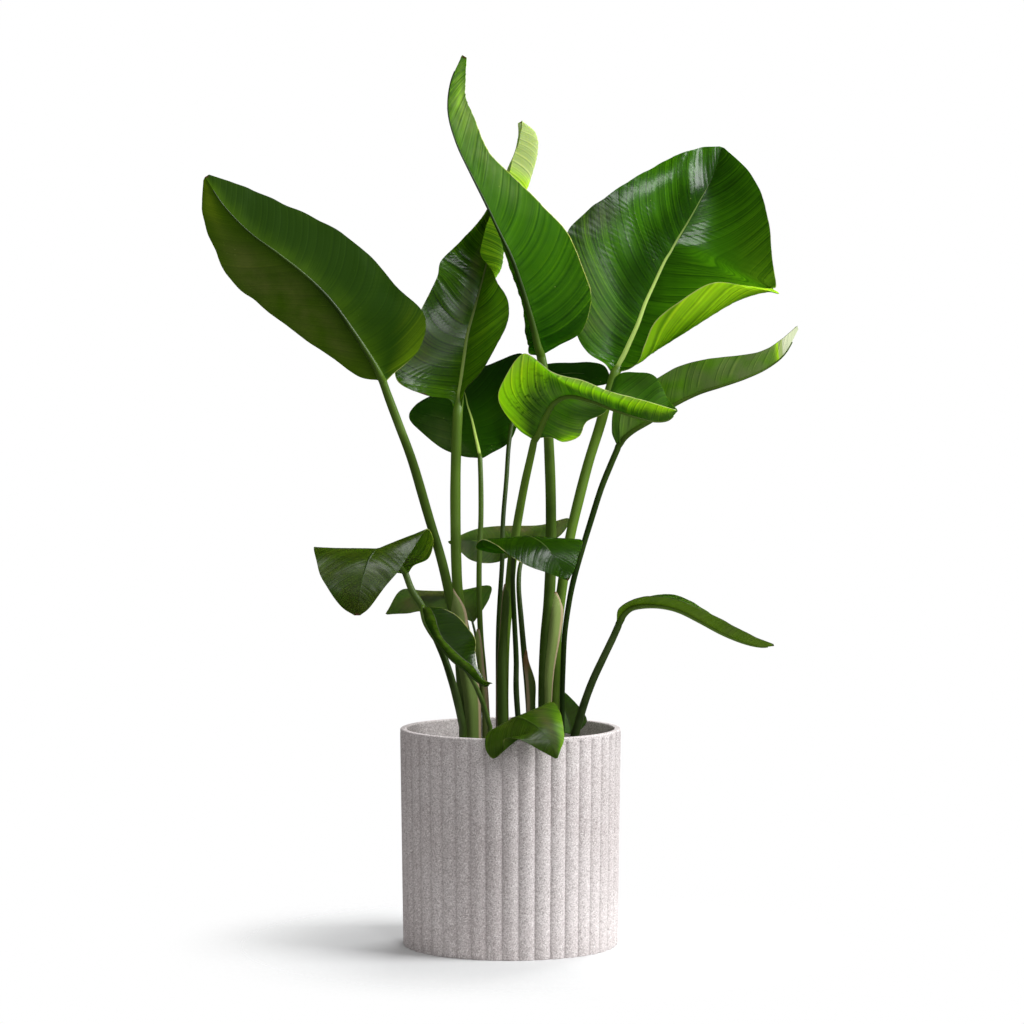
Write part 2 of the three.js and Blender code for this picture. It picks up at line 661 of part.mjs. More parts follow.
// The blade, with its midrib standing out below it
function bladeSolid(leaf) {
  const half = BLADE_THICKNESS / 2;
  const ribDepth = (i) => Math.max(half, RIB_DEPTH_RATIO * midribRadius(leaf, i / leaf.steps));
  const ribbed = (i, j) => (j === RIB_COLUMN ? ribDepth(i) : half);
  const plain = () => half;
  return leaf.upper > 0
    ? plateSolid(bladeGrid(leaf), plain, ribbed)
    : plateSolid(bladeGrid(leaf), ribbed, plain);
}

function leafSolid(leaf) {
  const solid = stalkSolid(leaf).add(bladeSolid(leaf));
  if (!leaf.sheath) {
    return solid;
  }
  const half = () => SHEATH_THICKNESS / 2;
  return solid.add(plateSolid(sheathGrid(leaf.sheath), half, half));
}

// A body of round sections about the planter's axis, from [radius, height] pairs, bottom to top
function roundSolid(profile, steps = ROUND_STEPS, shape = () => 1) {
  const vertices = [new THREE.Vector3(0, 0, profile[0][1])];
  profile.forEach(([radius, height, ribbed = 0]) => {
    for (let k = 0; k < steps; k += 1) {
      const angle = (2 * Math.PI * k) / steps;
      const reach = radius - ribbed * (1 - shape(k));
      vertices.push(new THREE.Vector3(Math.cos(angle) * reach, Math.sin(angle) * reach, height));
    }
  });
  vertices.push(new THREE.Vector3(0, 0, profile[profile.length - 1][1]));
  const top = vertices.length - 1;
  const triangles = [];
  for (let k = 0; k < steps; k += 1) {
    const next = (k + 1) % steps;
    triangles.push([0, 1 + next, 1 + k]);
    for (let i = 0; i < profile.length - 1; i += 1) {
      const a = 1 + i * steps + k;
      const b = 1 + i * steps + next;
      triangles.push([a, b, b + steps], [a, b + steps, a + steps]);
    }
    const edge = 1 + (profile.length - 1) * steps;
    triangles.push([top, edge + k, edge + next]);
  }
  return solidFrom(vertices, triangles);
}

// Height of a rounded rib over its groove at column k, from 0 to 1
function ribShape(k) {
  const share = (k % RIB_STEPS) / RIB_STEPS;
  return 1 - (2 * share - 1) ** 2;
}

function planterSolid() {
  const underLip = PLANTER_HEIGHT - LIP_HEIGHT;
  const outside = roundSolid([
    [FOOT_RADIUS - FOOT_ROUNDING, 0, RIB_DEPTH],
    [FOOT_RADIUS, FOOT_ROUNDING, RIB_DEPTH],
    [RIM_RADIUS, underLip - RIB_RUNOUT, RIB_DEPTH],
    [LIP_RADIUS, underLip],
    [LIP_RADIUS, PLANTER_HEIGHT - LIP_ROUNDING],
    [LIP_RADIUS - LIP_ROUNDING, PLANTER_HEIGHT],
  ], RIB_COUNT * RIB_STEPS, ribShape);
  const mouth = RIM_RADIUS - WALL;
  const inside = roundSolid([
    [FOOT_RADIUS - WALL - INSIDE_TAPER, FLOOR],
    [mouth, PLANTER_HEIGHT - MOUTH_ROUNDING],
    [mouth + MOUTH_ROUNDING, PLANTER_HEIGHT],
    [mouth + MOUTH_ROUNDING, PLANTER_HEIGHT + CUT_MARGIN],
  ]);
  return outside.subtract(inside);
}

function drainHoles() {
  const foot = FLOOR + SEAT_GAP;
  const spread = GROW_POT_FOOT_RADIUS * DRAIN_SPREAD;
  const holes = [];
  for (let i = 0; i < DRAIN_COUNT; i += 1) {
    const angle = (2 * Math.PI * (i + 0.5)) / DRAIN_COUNT;
    const x = Math.cos(angle) * spread;
    const y = Math.sin(angle) * spread;
    const ends = [
      new THREE.Vector3(x, y, foot - CUT_MARGIN),
      new THREE.Vector3(x, y, foot + GROW_POT_WALL + CUT_MARGIN),
    ];
    holes.push(tubeSolid(ends, [DRAIN_RADIUS, DRAIN_RADIUS], DRAIN_SIDES));
  }
  return holes;
}

function growPotSolid() {
  const foot = FLOOR + SEAT_GAP;
  const collar = GROW_POT_TOP - COLLAR_HEIGHT;
  const neck = GROW_POT_RADIUS - GROW_POT_LIP;
  const outside = roundSolid([
    [GROW_POT_FOOT_RADIUS, foot],
    [neck, collar - COLLAR_STEP],
    [GROW_POT_RADIUS, collar],
    [GROW_POT_RADIUS, GROW_POT_TOP],
  ]);
  const inside = roundSolid([
    [GROW_POT_FOOT_RADIUS - GROW_POT_WALL, foot + GROW_POT_WALL],
    [neck - GROW_POT_WALL, collar - COLLAR_STEP],
    [GROW_POT_RADIUS - GROW_POT_WALL, collar + COLLAR_STEP],
    [GROW_POT_RADIUS - GROW_POT_WALL, GROW_POT_TOP + CUT_MARGIN],
  ]);
  let pot = outside.subtract(inside);
  drainHoles().forEach((hole) => {
    pot = pot.subtract(hole);
  });
  return pot;
}

function stalkHole(leaf) {
  const root = place(leaf.stalk[0]);
  const reach = leaf.radii[0] + HOLE_CLEARANCE;
  const ends = [
    new THREE.Vector3(root.x, root.y, STALK_FOOT - SEAT_GAP),
    new THREE.Vector3(root.x, root.y, PLANTER_HEIGHT),
  ];
  return tubeSolid(ends, [reach, reach]);
}

function soilSolid() {
  const foot = FLOOR + SEAT_GAP + GROW_POT_WALL + SEAT_GAP;
  const shoulder = GROW_POT_TOP - SOIL_SHOULDER;
  const potRise = GROW_POT_TOP - COLLAR_HEIGHT - COLLAR_STEP - FLOOR;
  const slope = (GROW_POT_RADIUS - GROW_POT_LIP - GROW_POT_FOOT_RADIUS) / potRise;
  const footRadius = GROW_POT_FOOT_RADIUS - GROW_POT_WALL - 2 * SEAT_GAP;
  const shoulderRadius = footRadius + slope * (shoulder - foot);
  let soil = roundSolid([
    [footRadius, foot],
    [shoulderRadius, shoulder],
    [shoulderRadius - SOIL_LEDGE, SOIL_TOP - SOIL_EDGE_DROP],
    ...CROWN_RINGS.map(([reach, rise]) => [shoulderRadius * reach, SOIL_TOP + SOIL_CROWN * rise]),
  ]);
  Object.values(LEAVES).forEach((leaf) => {
    soil = soil.subtract(stalkHole(leaf));
  });
  return soil;
}

// The first member of the set that a point belongs to, with the way to it shortened
function firstOf(parent, index) {
  let root = index;
  while (parent[root] !== root) {
    root = parent[root];
  }
  let step = index;
  while (parent[step] !== root) {
    const next = parent[step];
    parent[step] = root;
    step = next;
  }
  return root;
}

// The triangles of the largest connected shell, without small hollows and scraps that joining leaves
function largestShell(triVerts, vertexCount) {
  const parent = Array.from({ length: vertexCount }, (_, index) => index);
  for (let i = 0; i < triVerts.length; i += 3) {
    parent[firstOf(parent, triVerts[i + 1])] = firstOf(parent, triVerts[i]);
    parent[firstOf(parent, triVerts[i + 2])] = firstOf(parent, triVerts[i]);
  }
  const shells = new Map();
  for (let i = 0; i < triVerts.length; i += 3) {
    const root = firstOf(parent, triVerts[i]);
    const shell = shells.get(root) ?? [];
    shell.push(triVerts[i], triVerts[i + 1], triVerts[i + 2]);
    shells.set(root, shell);
  }
  return [...shells.values()].reduce((most, shell) => (shell.length > most.length ? shell : most));
}

function meshFrom(name, solid, material) {
  const { vertProperties, triVerts, numProp } = solid.getMesh();
  const positions = new Float32Array((vertProperties.length / numProp) * 3);
  for (let i = 0; i < positions.length / 3; i += 1) {
    positions.set(vertProperties.subarray(i * numProp, i * numProp + 3), i * 3);
  }
  const geometry = new THREE.BufferGeometry();
  geometry.setAttribute('position', new THREE.BufferAttribute(positions, 3));
  const shell = largestShell(triVerts, positions.length / 3);
  geometry.setIndex(new THREE.BufferAttribute(new Uint32Array(shell), 1));
  geometry.computeVertexNormals();
  const mesh = new THREE.Mesh(geometry, material);
  mesh.name = name;
  return mesh;
}

function stoneMaterial() {
  return new THREE.MeshStandardMaterial({ color: 0xcbc3bd, roughness: 0.85 });
}

function nurseryPlasticMaterial() {
  return new THREE.MeshStandardMaterial({ color: 0x1b1c1d, roughness: 0.5 });
}

function soilMaterial() {
  return new THREE.MeshStandardMaterial({ color: 0x3a2a1f, roughness: 1 });
}

function leafMaterial() {
  return new THREE.MeshStandardMaterial({ color: 0x3f6b2c, roughness: 0.45, side: THREE.DoubleSide });
}

const group = new THREE.Group();
group.name = 'potted_bird_of_paradise';
group.add(meshFrom('planter', planterSolid(), stoneMaterial()));
group.add(meshFrom('grow_pot', growPotSolid(), nurseryPlasticMaterial()));
group.add(meshFrom('soil', soilSolid(), soilMaterial()));
Object.entries(LEAVES).forEach(([name, leaf]) => {
  group.add(meshFrom(`leaf_${name}`, leafSolid(leaf), leafMaterial()));
});

export default group;
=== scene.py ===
"""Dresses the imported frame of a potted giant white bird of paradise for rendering."""

import math
import random
from typing import NamedTuple

import bmesh
import bpy
from bpy.props import FloatProperty, FloatVectorProperty, IntProperty, PointerProperty
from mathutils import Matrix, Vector, noise


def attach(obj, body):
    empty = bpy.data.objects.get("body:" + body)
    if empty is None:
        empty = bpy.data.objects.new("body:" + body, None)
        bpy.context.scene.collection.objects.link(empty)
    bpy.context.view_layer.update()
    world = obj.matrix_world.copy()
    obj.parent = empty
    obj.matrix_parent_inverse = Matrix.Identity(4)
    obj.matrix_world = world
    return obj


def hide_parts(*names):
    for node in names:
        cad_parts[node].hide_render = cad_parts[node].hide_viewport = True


bl_info = {
    "name": "Potted giant white bird of paradise",
    "version": (1, 0, 0),
    "blender": (4, 5, 0),
    "location": "3D View > Sidebar > Bird of paradise",
    "description": "Builds the planter, the soil, the leaves and the studio around the packed frame",
    "category": "Object",
}

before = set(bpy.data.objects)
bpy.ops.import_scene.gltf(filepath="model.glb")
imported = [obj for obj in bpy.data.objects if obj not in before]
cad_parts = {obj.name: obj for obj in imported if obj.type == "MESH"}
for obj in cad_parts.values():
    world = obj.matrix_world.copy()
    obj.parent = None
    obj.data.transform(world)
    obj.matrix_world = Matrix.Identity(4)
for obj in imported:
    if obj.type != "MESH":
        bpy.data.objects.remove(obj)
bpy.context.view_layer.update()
MM = 0.001

# Places of the eye and of the point that it looks at, in metres, as for the leaf points below
EYE = Vector((0.0, -4.25, 0.7))
TARGET = Vector((0.0, 0.0, 0.527))
LENS_MM = 123.0
SENSOR_MM = 36.0
FRAMING_SHIFT = 0.0015

# Area lights: their places and the lengths of their sides, in metres. All of them face LIT_POINT.
KEY_LIGHT = ((2.6, -0.65, 2.3), 1.8)
WINDOW_LIGHT = ((0.7, -2.7, 3.15), 0.65)
PANEL_LIGHT = ((0.8, -2.75, 1.68), 0.34)
BACK_LIGHT = ((1.0, 2.7, 2.2), 2.2)
LIT_POINT = Vector((0.0, 0.0, 0.5))
LIGHT_TINT = (0.975, 0.99, 1.0)

# Strength of the white sky as the camera sees it, as it lights the plant and as it is mirrored
SKY_SEEN, SKY_LIT, SKY_MIRRORED = 1.0, 0.37, 0.02

# Materials of a leaf and of the soil, by slot number
UPPER, UNDER, MARGIN, STALK, SHEATH = range(5)
BARK, PERLITE = 1, 2

# Columns of each half of a blade, width of the outermost one, and rows along the blade
HALF_COLUMNS = 19
MARGIN_COLUMN = 1.0 * MM
LEAST_ROWS = 60
ROW_SPACING = 1.3 * MM

# Relief of a blade: its swellings start at SMOOTH_MIDDLE from the midrib and are full SWELL_RISE
# further out. Ruffles and waves reach this far in from the margin. A blade that is shorter than
# FULL_LENGTH has less relief.
SMOOTH_MIDDLE = 2.5 * MM
SWELL_RISE = 10 * MM
RUFFLE_REACH = 16 * MM
WAVE_REACH = 20 * MM
FULL_LENGTH = 350 * MM

BLADE_THICKNESS = 0.8 * MM
SHEATH_THICKNESS = 1.1 * MM

# Radius of a midrib at the blade's tip, in mm like the radii of LEAVES
RIB_TIP_MM = 0.7

# Heights of a stalk's foot and of the place where it enters the soil
STALK_FOOT = 0.150
SOIL_ENTRY = 0.232

# Rings and sides of a stalk, rings of a midrib, and how far along the blade the midrib goes
STALK_RINGS = 60
STALK_SIDES = 20
RIB_RINGS = 90
RIB_REACH = 0.95

# Rows and columns of a sheath, how far its foot is drawn down into the soil, and the width of its pale hem
SHEATH_ROWS = 60
SHEATH_COLUMNS = 16
SHEATH_DROP = 14 * MM
HEM_WIDTH = 3.5 * MM

# Columns round the round bodies, and rings on the soil's surface
COLUMNS_PER_RIB = 14
POT_SIDES = 160
SOIL_SIDES = 180
SOIL_RINGS = 46

# A leaf's points are [across, height, depth] in mm as the front view shows them on the plane through
# the planter's axis. The depth then moves each point along its line of sight, away from the eye.
# Each blade row runs from the left margin over the midrib to the right margin. A row of five points
# also gives the middle of each half. The upper side is on the side of (along x across) times upper.
LEAVES = {
    "upper_left": {
        "upper": 1, "radii": [6.5, 4.9],
        "stalk": [
            [-56, 265, -14], [-59, 311, -14], [-64, 372, -16], [-73, 420, -20], [-84, 469, -28],
            [-100, 523, -38], [-119, 588, -52], [-136, 634, -62], [-148, 666, -68], [-155, 686, -72],
        ],
        "blade": [
            [[-159, 687, -71], [-155, 686, -72], [-151, 685, -71]],
            [[-184, 692, -66], [-162, 701, -77], [-143, 694, -66]],
            [[-216, 714, -66], [-176, 724, -84], [-112, 724, -62]],
            [[-248, 736, -68], [-196, 754, -93], [-104, 765, -64]],
            [[-280, 760, -74], [-219, 785, -102], [-137, 799, -72]],
            [[-310, 783, -84], [-248, 814, -112], [-176, 844, -84]],
            [[-336, 805, -98], [-282, 841, -122], [-222, 875, -98]],
            [[-359, 845, -112], [-316, 866, -132], [-270, 899, -113]],
            [[-373, 890, -128], [-347, 898, -142], [-321, 921, -129]],
            [[-372, 929, -150], [-370, 933, -152], [-365, 936, -150]],
        ],
        "sheath": [
            [[-71, 432, -22], [-70, 434, -22], [-69, 432, -22]],
            [[-75, 406, -20], [-65, 408, -28], [-55, 408, -20]],
            [[-70, 370, -18], [-61, 372, -27], [-50, 372, -16]],
            [[-65, 336, -16], [-55, 338, -25], [-42, 338, -12]],
            [[-60, 298, -15], [-49, 299, -23], [-37, 299, -8]],
            [[-56, 256, -15], [-46, 256, -22], [-36, 256, -8]],
        ],
    },
    "tall_rear_left": {
        "upper": -1, "radii": [6.8, 6.1],
        "stalk": [
            [-44, 265, 2], [-44, 311, 2], [-54, 372, 2], [-63, 420, 4], [-66, 469, 8],
            [-67, 542, 15], [-66, 602, 20], [-64, 649, 24],
        ],
        "blade": [
            [[-67, 647, 23], [-64, 649, 24], [-60, 650, 23]],
            [[-75, 664, 22], [-63, 668, 28], [-55, 674, 20]],
            [[-103, 669, 12], [-60, 687, 32], [-39, 692, 14]],
            [[-138, 687, 12], [-56, 714, 38], [-22, 720, 12]],
            [[-134, 724, 26], [-52, 742, 44], [-4, 755, 14]],
            [[-109, 772, 38], [-44, 771, 50], [-3, 779, 20]],
            [[-90, 809, 46], [-36, 799, 56], [-14, 804, 26]],
            [[-84, 832, 54], [-56, 830, 59], [-29, 828, 64], [-10, 826, 44], [-24, 823, 38]],
            [[-58, 858, 60], [-39, 858, 66], [-21, 858, 72], [-7, 850, 52], [-36, 843, 44]],
            [[-32, 889, 64], [-22, 890, 72], [-12, 892, 80], [4, 887, 62], [-29, 875, 54]],
            [[-14, 922, 74], [-5, 924, 80], [4, 926, 86], [22, 924, 72], [-9, 923, 64]],
            [[2, 955, 82], [11, 956, 86], [20, 958, 90], [32, 961, 80], [7, 964, 72]],
            [[9, 981, 86], [16, 984, 88], [24, 986, 90], [30, 986, 84], [13, 989, 80]],
            [[9, 998, 88], [13, 1000, 88], [14, 1001, 86]],
        ],
    },
    "tall_centre": {
        "upper": 1, "radii": [7.4, 5.5],
        "stalk": [
            [41, 265, -6], [41, 311, -6], [43, 372, -6], [47, 420, -7], [49, 469, -8],
            [49, 542, -11], [47, 602, -14], [44, 657, -17], [41, 694, -19], [37, 717, -20],
        ],
        "blade": [
            [[33, 717, -19], [37, 717, -20], [41, 719, -19]],
            [[21, 721, -12], [33, 730, -24], [58, 729, -16]],
            [[24, 743, 6], [19, 738, -14], [29, 748, -29], [58, 748, -22], [87, 747, -14]],
            [[27, 777, 12], [15, 774, -16], [21, 777, -36], [60, 783, -25], [98, 788, -14]],
            [[26, 811, 14], [7, 804, -20], [12, 806, -43], [50, 814, -30], [88, 822, -18]],
            [[14, 845, 8], [-4, 837, -26], [1, 837, -50], [35, 851, -38], [69, 866, -26]],
            [[-1, 879, 0], [-16, 870, -34], [-14, 868, -56], [12, 885, -46], [37, 901, -36]],
            [[-20, 913, -8], [-30, 906, -42], [-30, 902, -62], [-15, 919, -54], [1, 936, -46]],
            [[-41, 947, -18], [-47, 941, -48], [-48, 938, -68], [-37, 951, -62], [-26, 964, -56]],
            [[-58, 983, -28], [-63, 977, -56], [-65, 974, -74], [-53, 987, -69], [-42, 1001, -64]],
            [[-66, 1018, -40], [-75, 1013, -64], [-75, 1011, -80], [-64, 1019, -76], [-53, 1028, -72]],
            [[-63, 1052, -58], [-70, 1049, -74], [-72, 1047, -84], [-63, 1051, -81], [-54, 1054, -78]],
            [[-60, 1077, -82], [-58, 1080, -86], [-53, 1077, -84]],
        ],
        "sheath": [
            [[54, 430, -10], [55, 430, -10], [56, 430, -10]],
            [[48, 418, -10], [56, 418, -11], [61, 418, -5]],
            [[47, 402, -10], [55, 403, -13], [64, 404, -3]],
            [[44, 372, -10], [53, 374, -14], [60, 374, -3]],
            [[39, 330, -10], [48, 333, -14], [53, 334, -3]],
            [[39, 292, -10], [47, 294, -14], [50, 295, -4]],
            [[39, 256, -10], [47, 256, -14], [50, 256, -4]],
        ],
    },
    "upper_right": {
        "upper": -1, "radii": [6.2, 6.2],
        "stalk": [
            [54, 265, 8], [54, 311, 8], [56, 372, 8], [60, 414, 9], [66, 457, 12],
            [73, 499, 18], [83, 542, 25], [95, 588, 33], [109, 633, 39], [119, 670, 43],
            [127, 696, 46],
        ],
        "blade": [
            [[122, 697, 45], [127, 696, 46], [132, 697, 44]],
            [[114, 707, 44], [132, 707, 50], [145, 701, 40]],
            [[94, 720, 50], [116, 719, 50], [138, 719, 55], [152, 707, 42], [156, 711, 32]],
            [[80, 742, 56], [112, 738, 53], [145, 735, 61], [172, 720, 42], [163, 729, 24]],
            [[71, 779, 61], [112, 766, 58], [154, 755, 67], [196, 735, 38], [177, 758, 16]],
            [[67, 821, 66], [116, 800, 64], [163, 780, 74], [230, 757, 34], [208, 783, 8]],
            [[70, 867, 73], [122, 836, 70], [174, 804, 81], [269, 781, 34], [246, 805, 6]],
            [[95, 893, 81], [142, 861, 78], [186, 830, 88], [301, 796, 40], [286, 802, 14]],
            [[111, 905, 86], [152, 875, 82], [194, 843, 92], [310, 798, 44], [312, 799, 26]],
            [[127, 917, 91], [163, 887, 86], [201, 856, 96], [269, 826, 78], [321, 803, 38]],
            [[161, 938, 101], [188, 909, 94], [216, 881, 103], [267, 864, 95], [316, 850, 62]],
            [[194, 956, 111], [212, 932, 104], [230, 906, 110], [269, 900, 105], [309, 898, 84]],
            [[228, 968, 120], [244, 932, 118], [290, 938, 106]],
            [[253, 970, 129], [256, 969, 130], [259, 968, 128]],
        ],
    },
    "right_arching": {
        "upper": -1, "radii": [3.1, 3.9],
        "stalk": [
            [63, 265, 26], [63, 299, 26], [64, 336, 27], [66, 378, 28], [71, 415, 29],
            [77, 445, 30], [87, 481, 32], [98, 517, 34], [110, 555, 36], [122, 585, 38],
            [131, 606, 40],
        ],
        "blade": [
            [[128, 611, 44], [131, 607, 40], [134, 611, 36]],
            [[123, 627, 54], [135, 616, 38], [132, 634, 24]],
            [[128, 658, 70], [148, 627, 34], [139, 661, 14]],
            [[155, 675, 78], [171, 640, 28], [159, 680, 4]],
            [[186, 686, 76], [196, 657, 22], [183, 692, -2]],
            [[216, 697, 70], [227, 672, 18], [210, 706, -4]],
            [[247, 702, 62], [256, 681, 14], [241, 713, -4]],
            [[279, 707, 52], [286, 691, 12], [278, 717, 0]],
            [[308, 717, 40], [312, 703, 12], [309, 724, 2]],
            [[330, 734, 26], [333, 720, 12], [330, 738, 6]],
            [[346, 752, 16], [349, 749, 14], [348, 753, 12]],
        ],
    },
    "centre_bright": {
        "upper": 1, "radii": [7, 4.2],
        "stalk": [
            [-9, 265, -8], [-9, 311, -8], [-7, 372, -9], [-2, 424, -12], [2, 469, -19],
            [8, 511, -27], [17, 560, -37], [25, 596, -46], [29, 615, -52],
        ],
        "blade": [
            [[26, 616, -52], [30, 615, -52], [33, 617, -51]],
            [[7, 630, -64], [35, 626, -58], [49, 618, -48]],
            [[-14, 661, -76], [43, 644, -66], [65, 612, -46]],
            [[-9, 687, -88], [54, 661, -76], [83, 619, -46]],
            [[16, 719, -100], [72, 668, -86], [92, 636, -44]],
            [[49, 697, -112], [97, 663, -95], [117, 651, -44]],
            [[86, 687, -120], [123, 653, -102], [128, 690, -48]],
            [[118, 674, -124], [149, 644, -107], [152, 697, -60]],
            [[150, 666, -124], [172, 638, -109], [176, 691, -74]],
            [[177, 658, -121], [191, 639, -110], [191, 664, -92]],
            [[201, 651, -113], [203, 650, -110], [202, 652, -106]],
        ],
        "sheath": [
            [[-8, 438, -15], [-6, 440, -16], [-4, 438, -16]],
            [[-10, 420, -6], [-7, 420, -16], [-1, 420, -19]],
            [[-13, 379, -3], [-10, 379, -15], [-4, 379, -17]],
            [[-16, 345, -2], [-13, 345, -15], [-5, 345, -16]],
            [[-17, 306, -2], [-13, 306, -15], [-5, 306, -16]],
            [[-16, 256, -2], [-13, 256, -15], [-5, 256, -16]],
        ],
    },
    "dark_middle": {
        "upper": -1, "radii": [3.8, 3],
        "stalk": [
            [-29, 265, 6], [-30, 299, 6], [-33, 338, 6], [-36, 372, 7], [-38, 420, 9],
            [-38, 469, 14], [-36, 517, 22], [-36, 560, 30], [-37, 593, 38],
        ],
        "blade": [
            [[-41, 593, 38], [-37, 593, 38], [-33, 593, 38]],
            [[-59, 595, 44], [-39, 604, 46], [-24, 598, 46]],
            [[-83, 604, 54], [-43, 622, 60], [-3, 611, 60]],
            [[-106, 622, 68], [-47, 640, 76], [8, 633, 76]],
            [[-123, 640, 86], [-52, 656, 94], [13, 663, 90]],
            [[-118, 655, 106], [-55, 670, 112], [15, 694, 104]],
            [[-103, 664, 124], [-60, 683, 130], [13, 719, 122]],
            [[-86, 674, 142], [-65, 690, 146], [-22, 707, 140]],
            [[-73, 690, 160], [-71, 691, 160], [-67, 692, 160]],
        ],
        "sheath": [
            [[-41, 384, 4], [-39, 385, 3], [-38, 384, 3]],
            [[-43, 364, 6], [-38, 366, 2], [-35, 366, 4]],
            [[-39, 334, 6], [-36, 335, 1], [-31, 335, 4]],
            [[-35, 298, 4], [-32, 299, 0], [-27, 299, 4]],
            [[-34, 256, 4], [-30, 256, 0], [-24, 256, 4]],
        ],
    },
    "left_saddle": {
        "upper": 1, "radii": [4.8, 4],
        "stalk": [
            [-58, 265, -34], [-64, 293, -36], [-72, 323, -38], [-82, 353, -40], [-94, 381, -42],
            [-107, 411, -42], [-120, 432, -40], [-128, 453, -38],
        ],
        "blade": [
            [[-131, 452, -38], [-128, 453, -38], [-124, 453, -38]],
            [[-151, 455, -38], [-134, 462, -44], [-117, 462, -46]],
            [[-180, 462, -40], [-143, 470, -54], [-99, 471, -50]],
            [[-213, 472, -48], [-152, 479, -64], [-93, 493, -52]],
            [[-234, 483, -64], [-162, 482, -74], [-101, 506, -60]],
            [[-239, 481, -84], [-171, 472, -86], [-120, 480, -74]],
            [[-234, 457, -98], [-178, 453, -96], [-135, 457, -88]],
            [[-223, 435, -105], [-183, 432, -102], [-154, 434, -98]],
            [[-205, 411, -106], [-185, 414, -105], [-171, 411, -103]],
            [[-190, 401, -105], [-186, 401, -105], [-183, 401, -105]],
        ],
    },
    "low_rear_left": {
        "upper": -1, "radii": [2, 1.4],
        "stalk": [
            [-37, 265, 16], [-37, 311, 16], [-39, 353, 17], [-43, 379, 22], [-46, 392, 28],
        ],
        "blade": [
            [[-47, 394, 29], [-46, 392, 28], [-43, 395, 28]],
            [[-63, 398, 30], [-50, 406, 32], [-33, 409, 30]],
            [[-77, 401, 32], [-61, 415, 37], [-25, 424, 36]],
            [[-93, 403, 34], [-77, 421, 42], [-26, 437, 46]],
            [[-110, 406, 34], [-97, 424, 44], [-64, 431, 56]],
            [[-123, 404, 34], [-115, 423, 42], [-105, 431, 54]],
            [[-137, 403, 34], [-132, 417, 38], [-133, 432, 46]],
            [[-150, 402, 34], [-152, 403, 34], [-150, 406, 36]],
        ],
    },
    "low_front_left": {
        "upper": 1, "radii": [3, 2.6],
        "stalk": [
            [-25, 265, -40], [-33, 292, -44], [-44, 318, -48], [-58, 341, -52], [-75, 364, -56],
            [-92, 389, -58], [-103, 406, -60], [-107, 412, -63],
        ],
        "blade": [
            [[-109, 409, -63], [-107, 412, -63], [-104, 413, -63]],
            [[-100, 412, -78], [-106, 403, -70], [-95, 411, -62]],
            [[-93, 401, -86], [-103, 391, -74], [-81, 409, -60]],
            [[-88, 385, -91], [-94, 375, -76], [-65, 401, -60]],
            [[-82, 373, -92], [-83, 361, -77], [-52, 386, -62]],
            [[-71, 361, -93], [-70, 346, -78], [-43, 372, -64]],
            [[-56, 347, -92], [-56, 335, -79], [-43, 356, -66]],
            [[-46, 339, -90], [-43, 323, -80], [-42, 341, -70]],
            [[-35, 324, -87], [-31, 315, -81], [-32, 323, -76]],
            [[-25, 319, -83], [-24, 318, -82], [-22, 318, -81]],
        ],
    },
    "middle_front": {
        "upper": 1, "radii": [3.6, 2.6],
        "stalk": [
            [10, 265, -14], [7, 311, -15], [7, 347, -17], [5, 390, -21], [3, 432, -29],
            [3, 459, -38], [4, 477, -45],
        ],
        "blade": [
            [[1, 477, -45], [4, 477, -45], [8, 479, -45]],
            [[-20, 477, -46], [7, 487, -50], [20, 489, -38]],
            [[-42, 483, -50], [12, 494, -56], [43, 493, -36]],
            [[-35, 493, -64], [20, 498, -63], [69, 493, -42]],
            [[-18, 487, -76], [31, 494, -70], [86, 493, -54]],
            [[2, 472, -84], [42, 486, -76], [86, 482, -64]],
            [[25, 460, -88], [52, 474, -81], [82, 471, -72]],
            [[47, 452, -89], [61, 460, -84], [78, 458, -80]],
            [[66, 445, -86], [70, 443, -86], [72, 446, -86]],
        ],
    },
    "middle_rear": {
        "upper": -1, "radii": [4.4, 2.2],
        "stalk": [
            [24, 265, 8], [22, 299, 8], [18, 341, 10], [13, 396, 15], [10, 438, 24],
            [13, 466, 34], [24, 482, 44],
        ],
        "blade": [
            [[22, 481, 44], [25, 482, 44], [27, 483, 45]],
            [[5, 474, 46], [18, 485, 50], [60, 498, 62]],
            [[-5, 471, 48], [4, 487, 55], [71, 519, 78]],
            [[-16, 466, 50], [-13, 489, 59], [37, 511, 88]],
            [[-32, 465, 50], [-30, 491, 60], [-4, 510, 88]],
            [[-49, 469, 50], [-46, 492, 58], [-32, 508, 80]],
            [[-61, 479, 49], [-61, 492, 54], [-53, 502, 68]],
            [[-75, 489, 50], [-76, 491, 50], [-73, 492, 52]],
        ],
        "sheath": [
            [[18, 358, 4], [19, 360, 4], [20, 358, 4]],
            [[16, 345, 4], [20, 345, 2], [22, 345, 4]],
            [[19, 319, 3], [25, 319, 1], [30, 319, 4]],
            [[20, 292, 2], [26, 292, 0], [30, 292, 3]],
            [[20, 256, 2], [26, 256, 0], [31, 256, 3]],
        ],
    },
    "low_rear_right": {
        "upper": -1, "radii": [2.6, 2.2],
        "stalk": [
            [76, 250, 30], [76, 255, 30], [76, 260, 31],
        ],
        "blade": [
            [[72, 256, 31], [76, 257, 31], [80, 257, 31]],
            [[55, 262, 30], [73, 265, 34], [88, 264, 28]],
            [[47, 278, 32], [70, 276, 38], [93, 273, 30]],
            [[43, 294, 38], [65, 288, 42], [87, 285, 34]],
            [[42, 306, 43], [59, 299, 45], [76, 298, 40]],
            [[42, 315, 46], [53, 309, 47], [64, 309, 44]],
            [[44, 318, 48], [47, 317, 48], [49, 317, 48]],
        ],
    },
    "dark_rear": {
        "upper": -1, "radii": [3, 2.7],
        "stalk": [
            [-15, 265, 6], [-15, 311, 6], [-15, 372, 7], [-13, 420, 10], [-10, 469, 18],
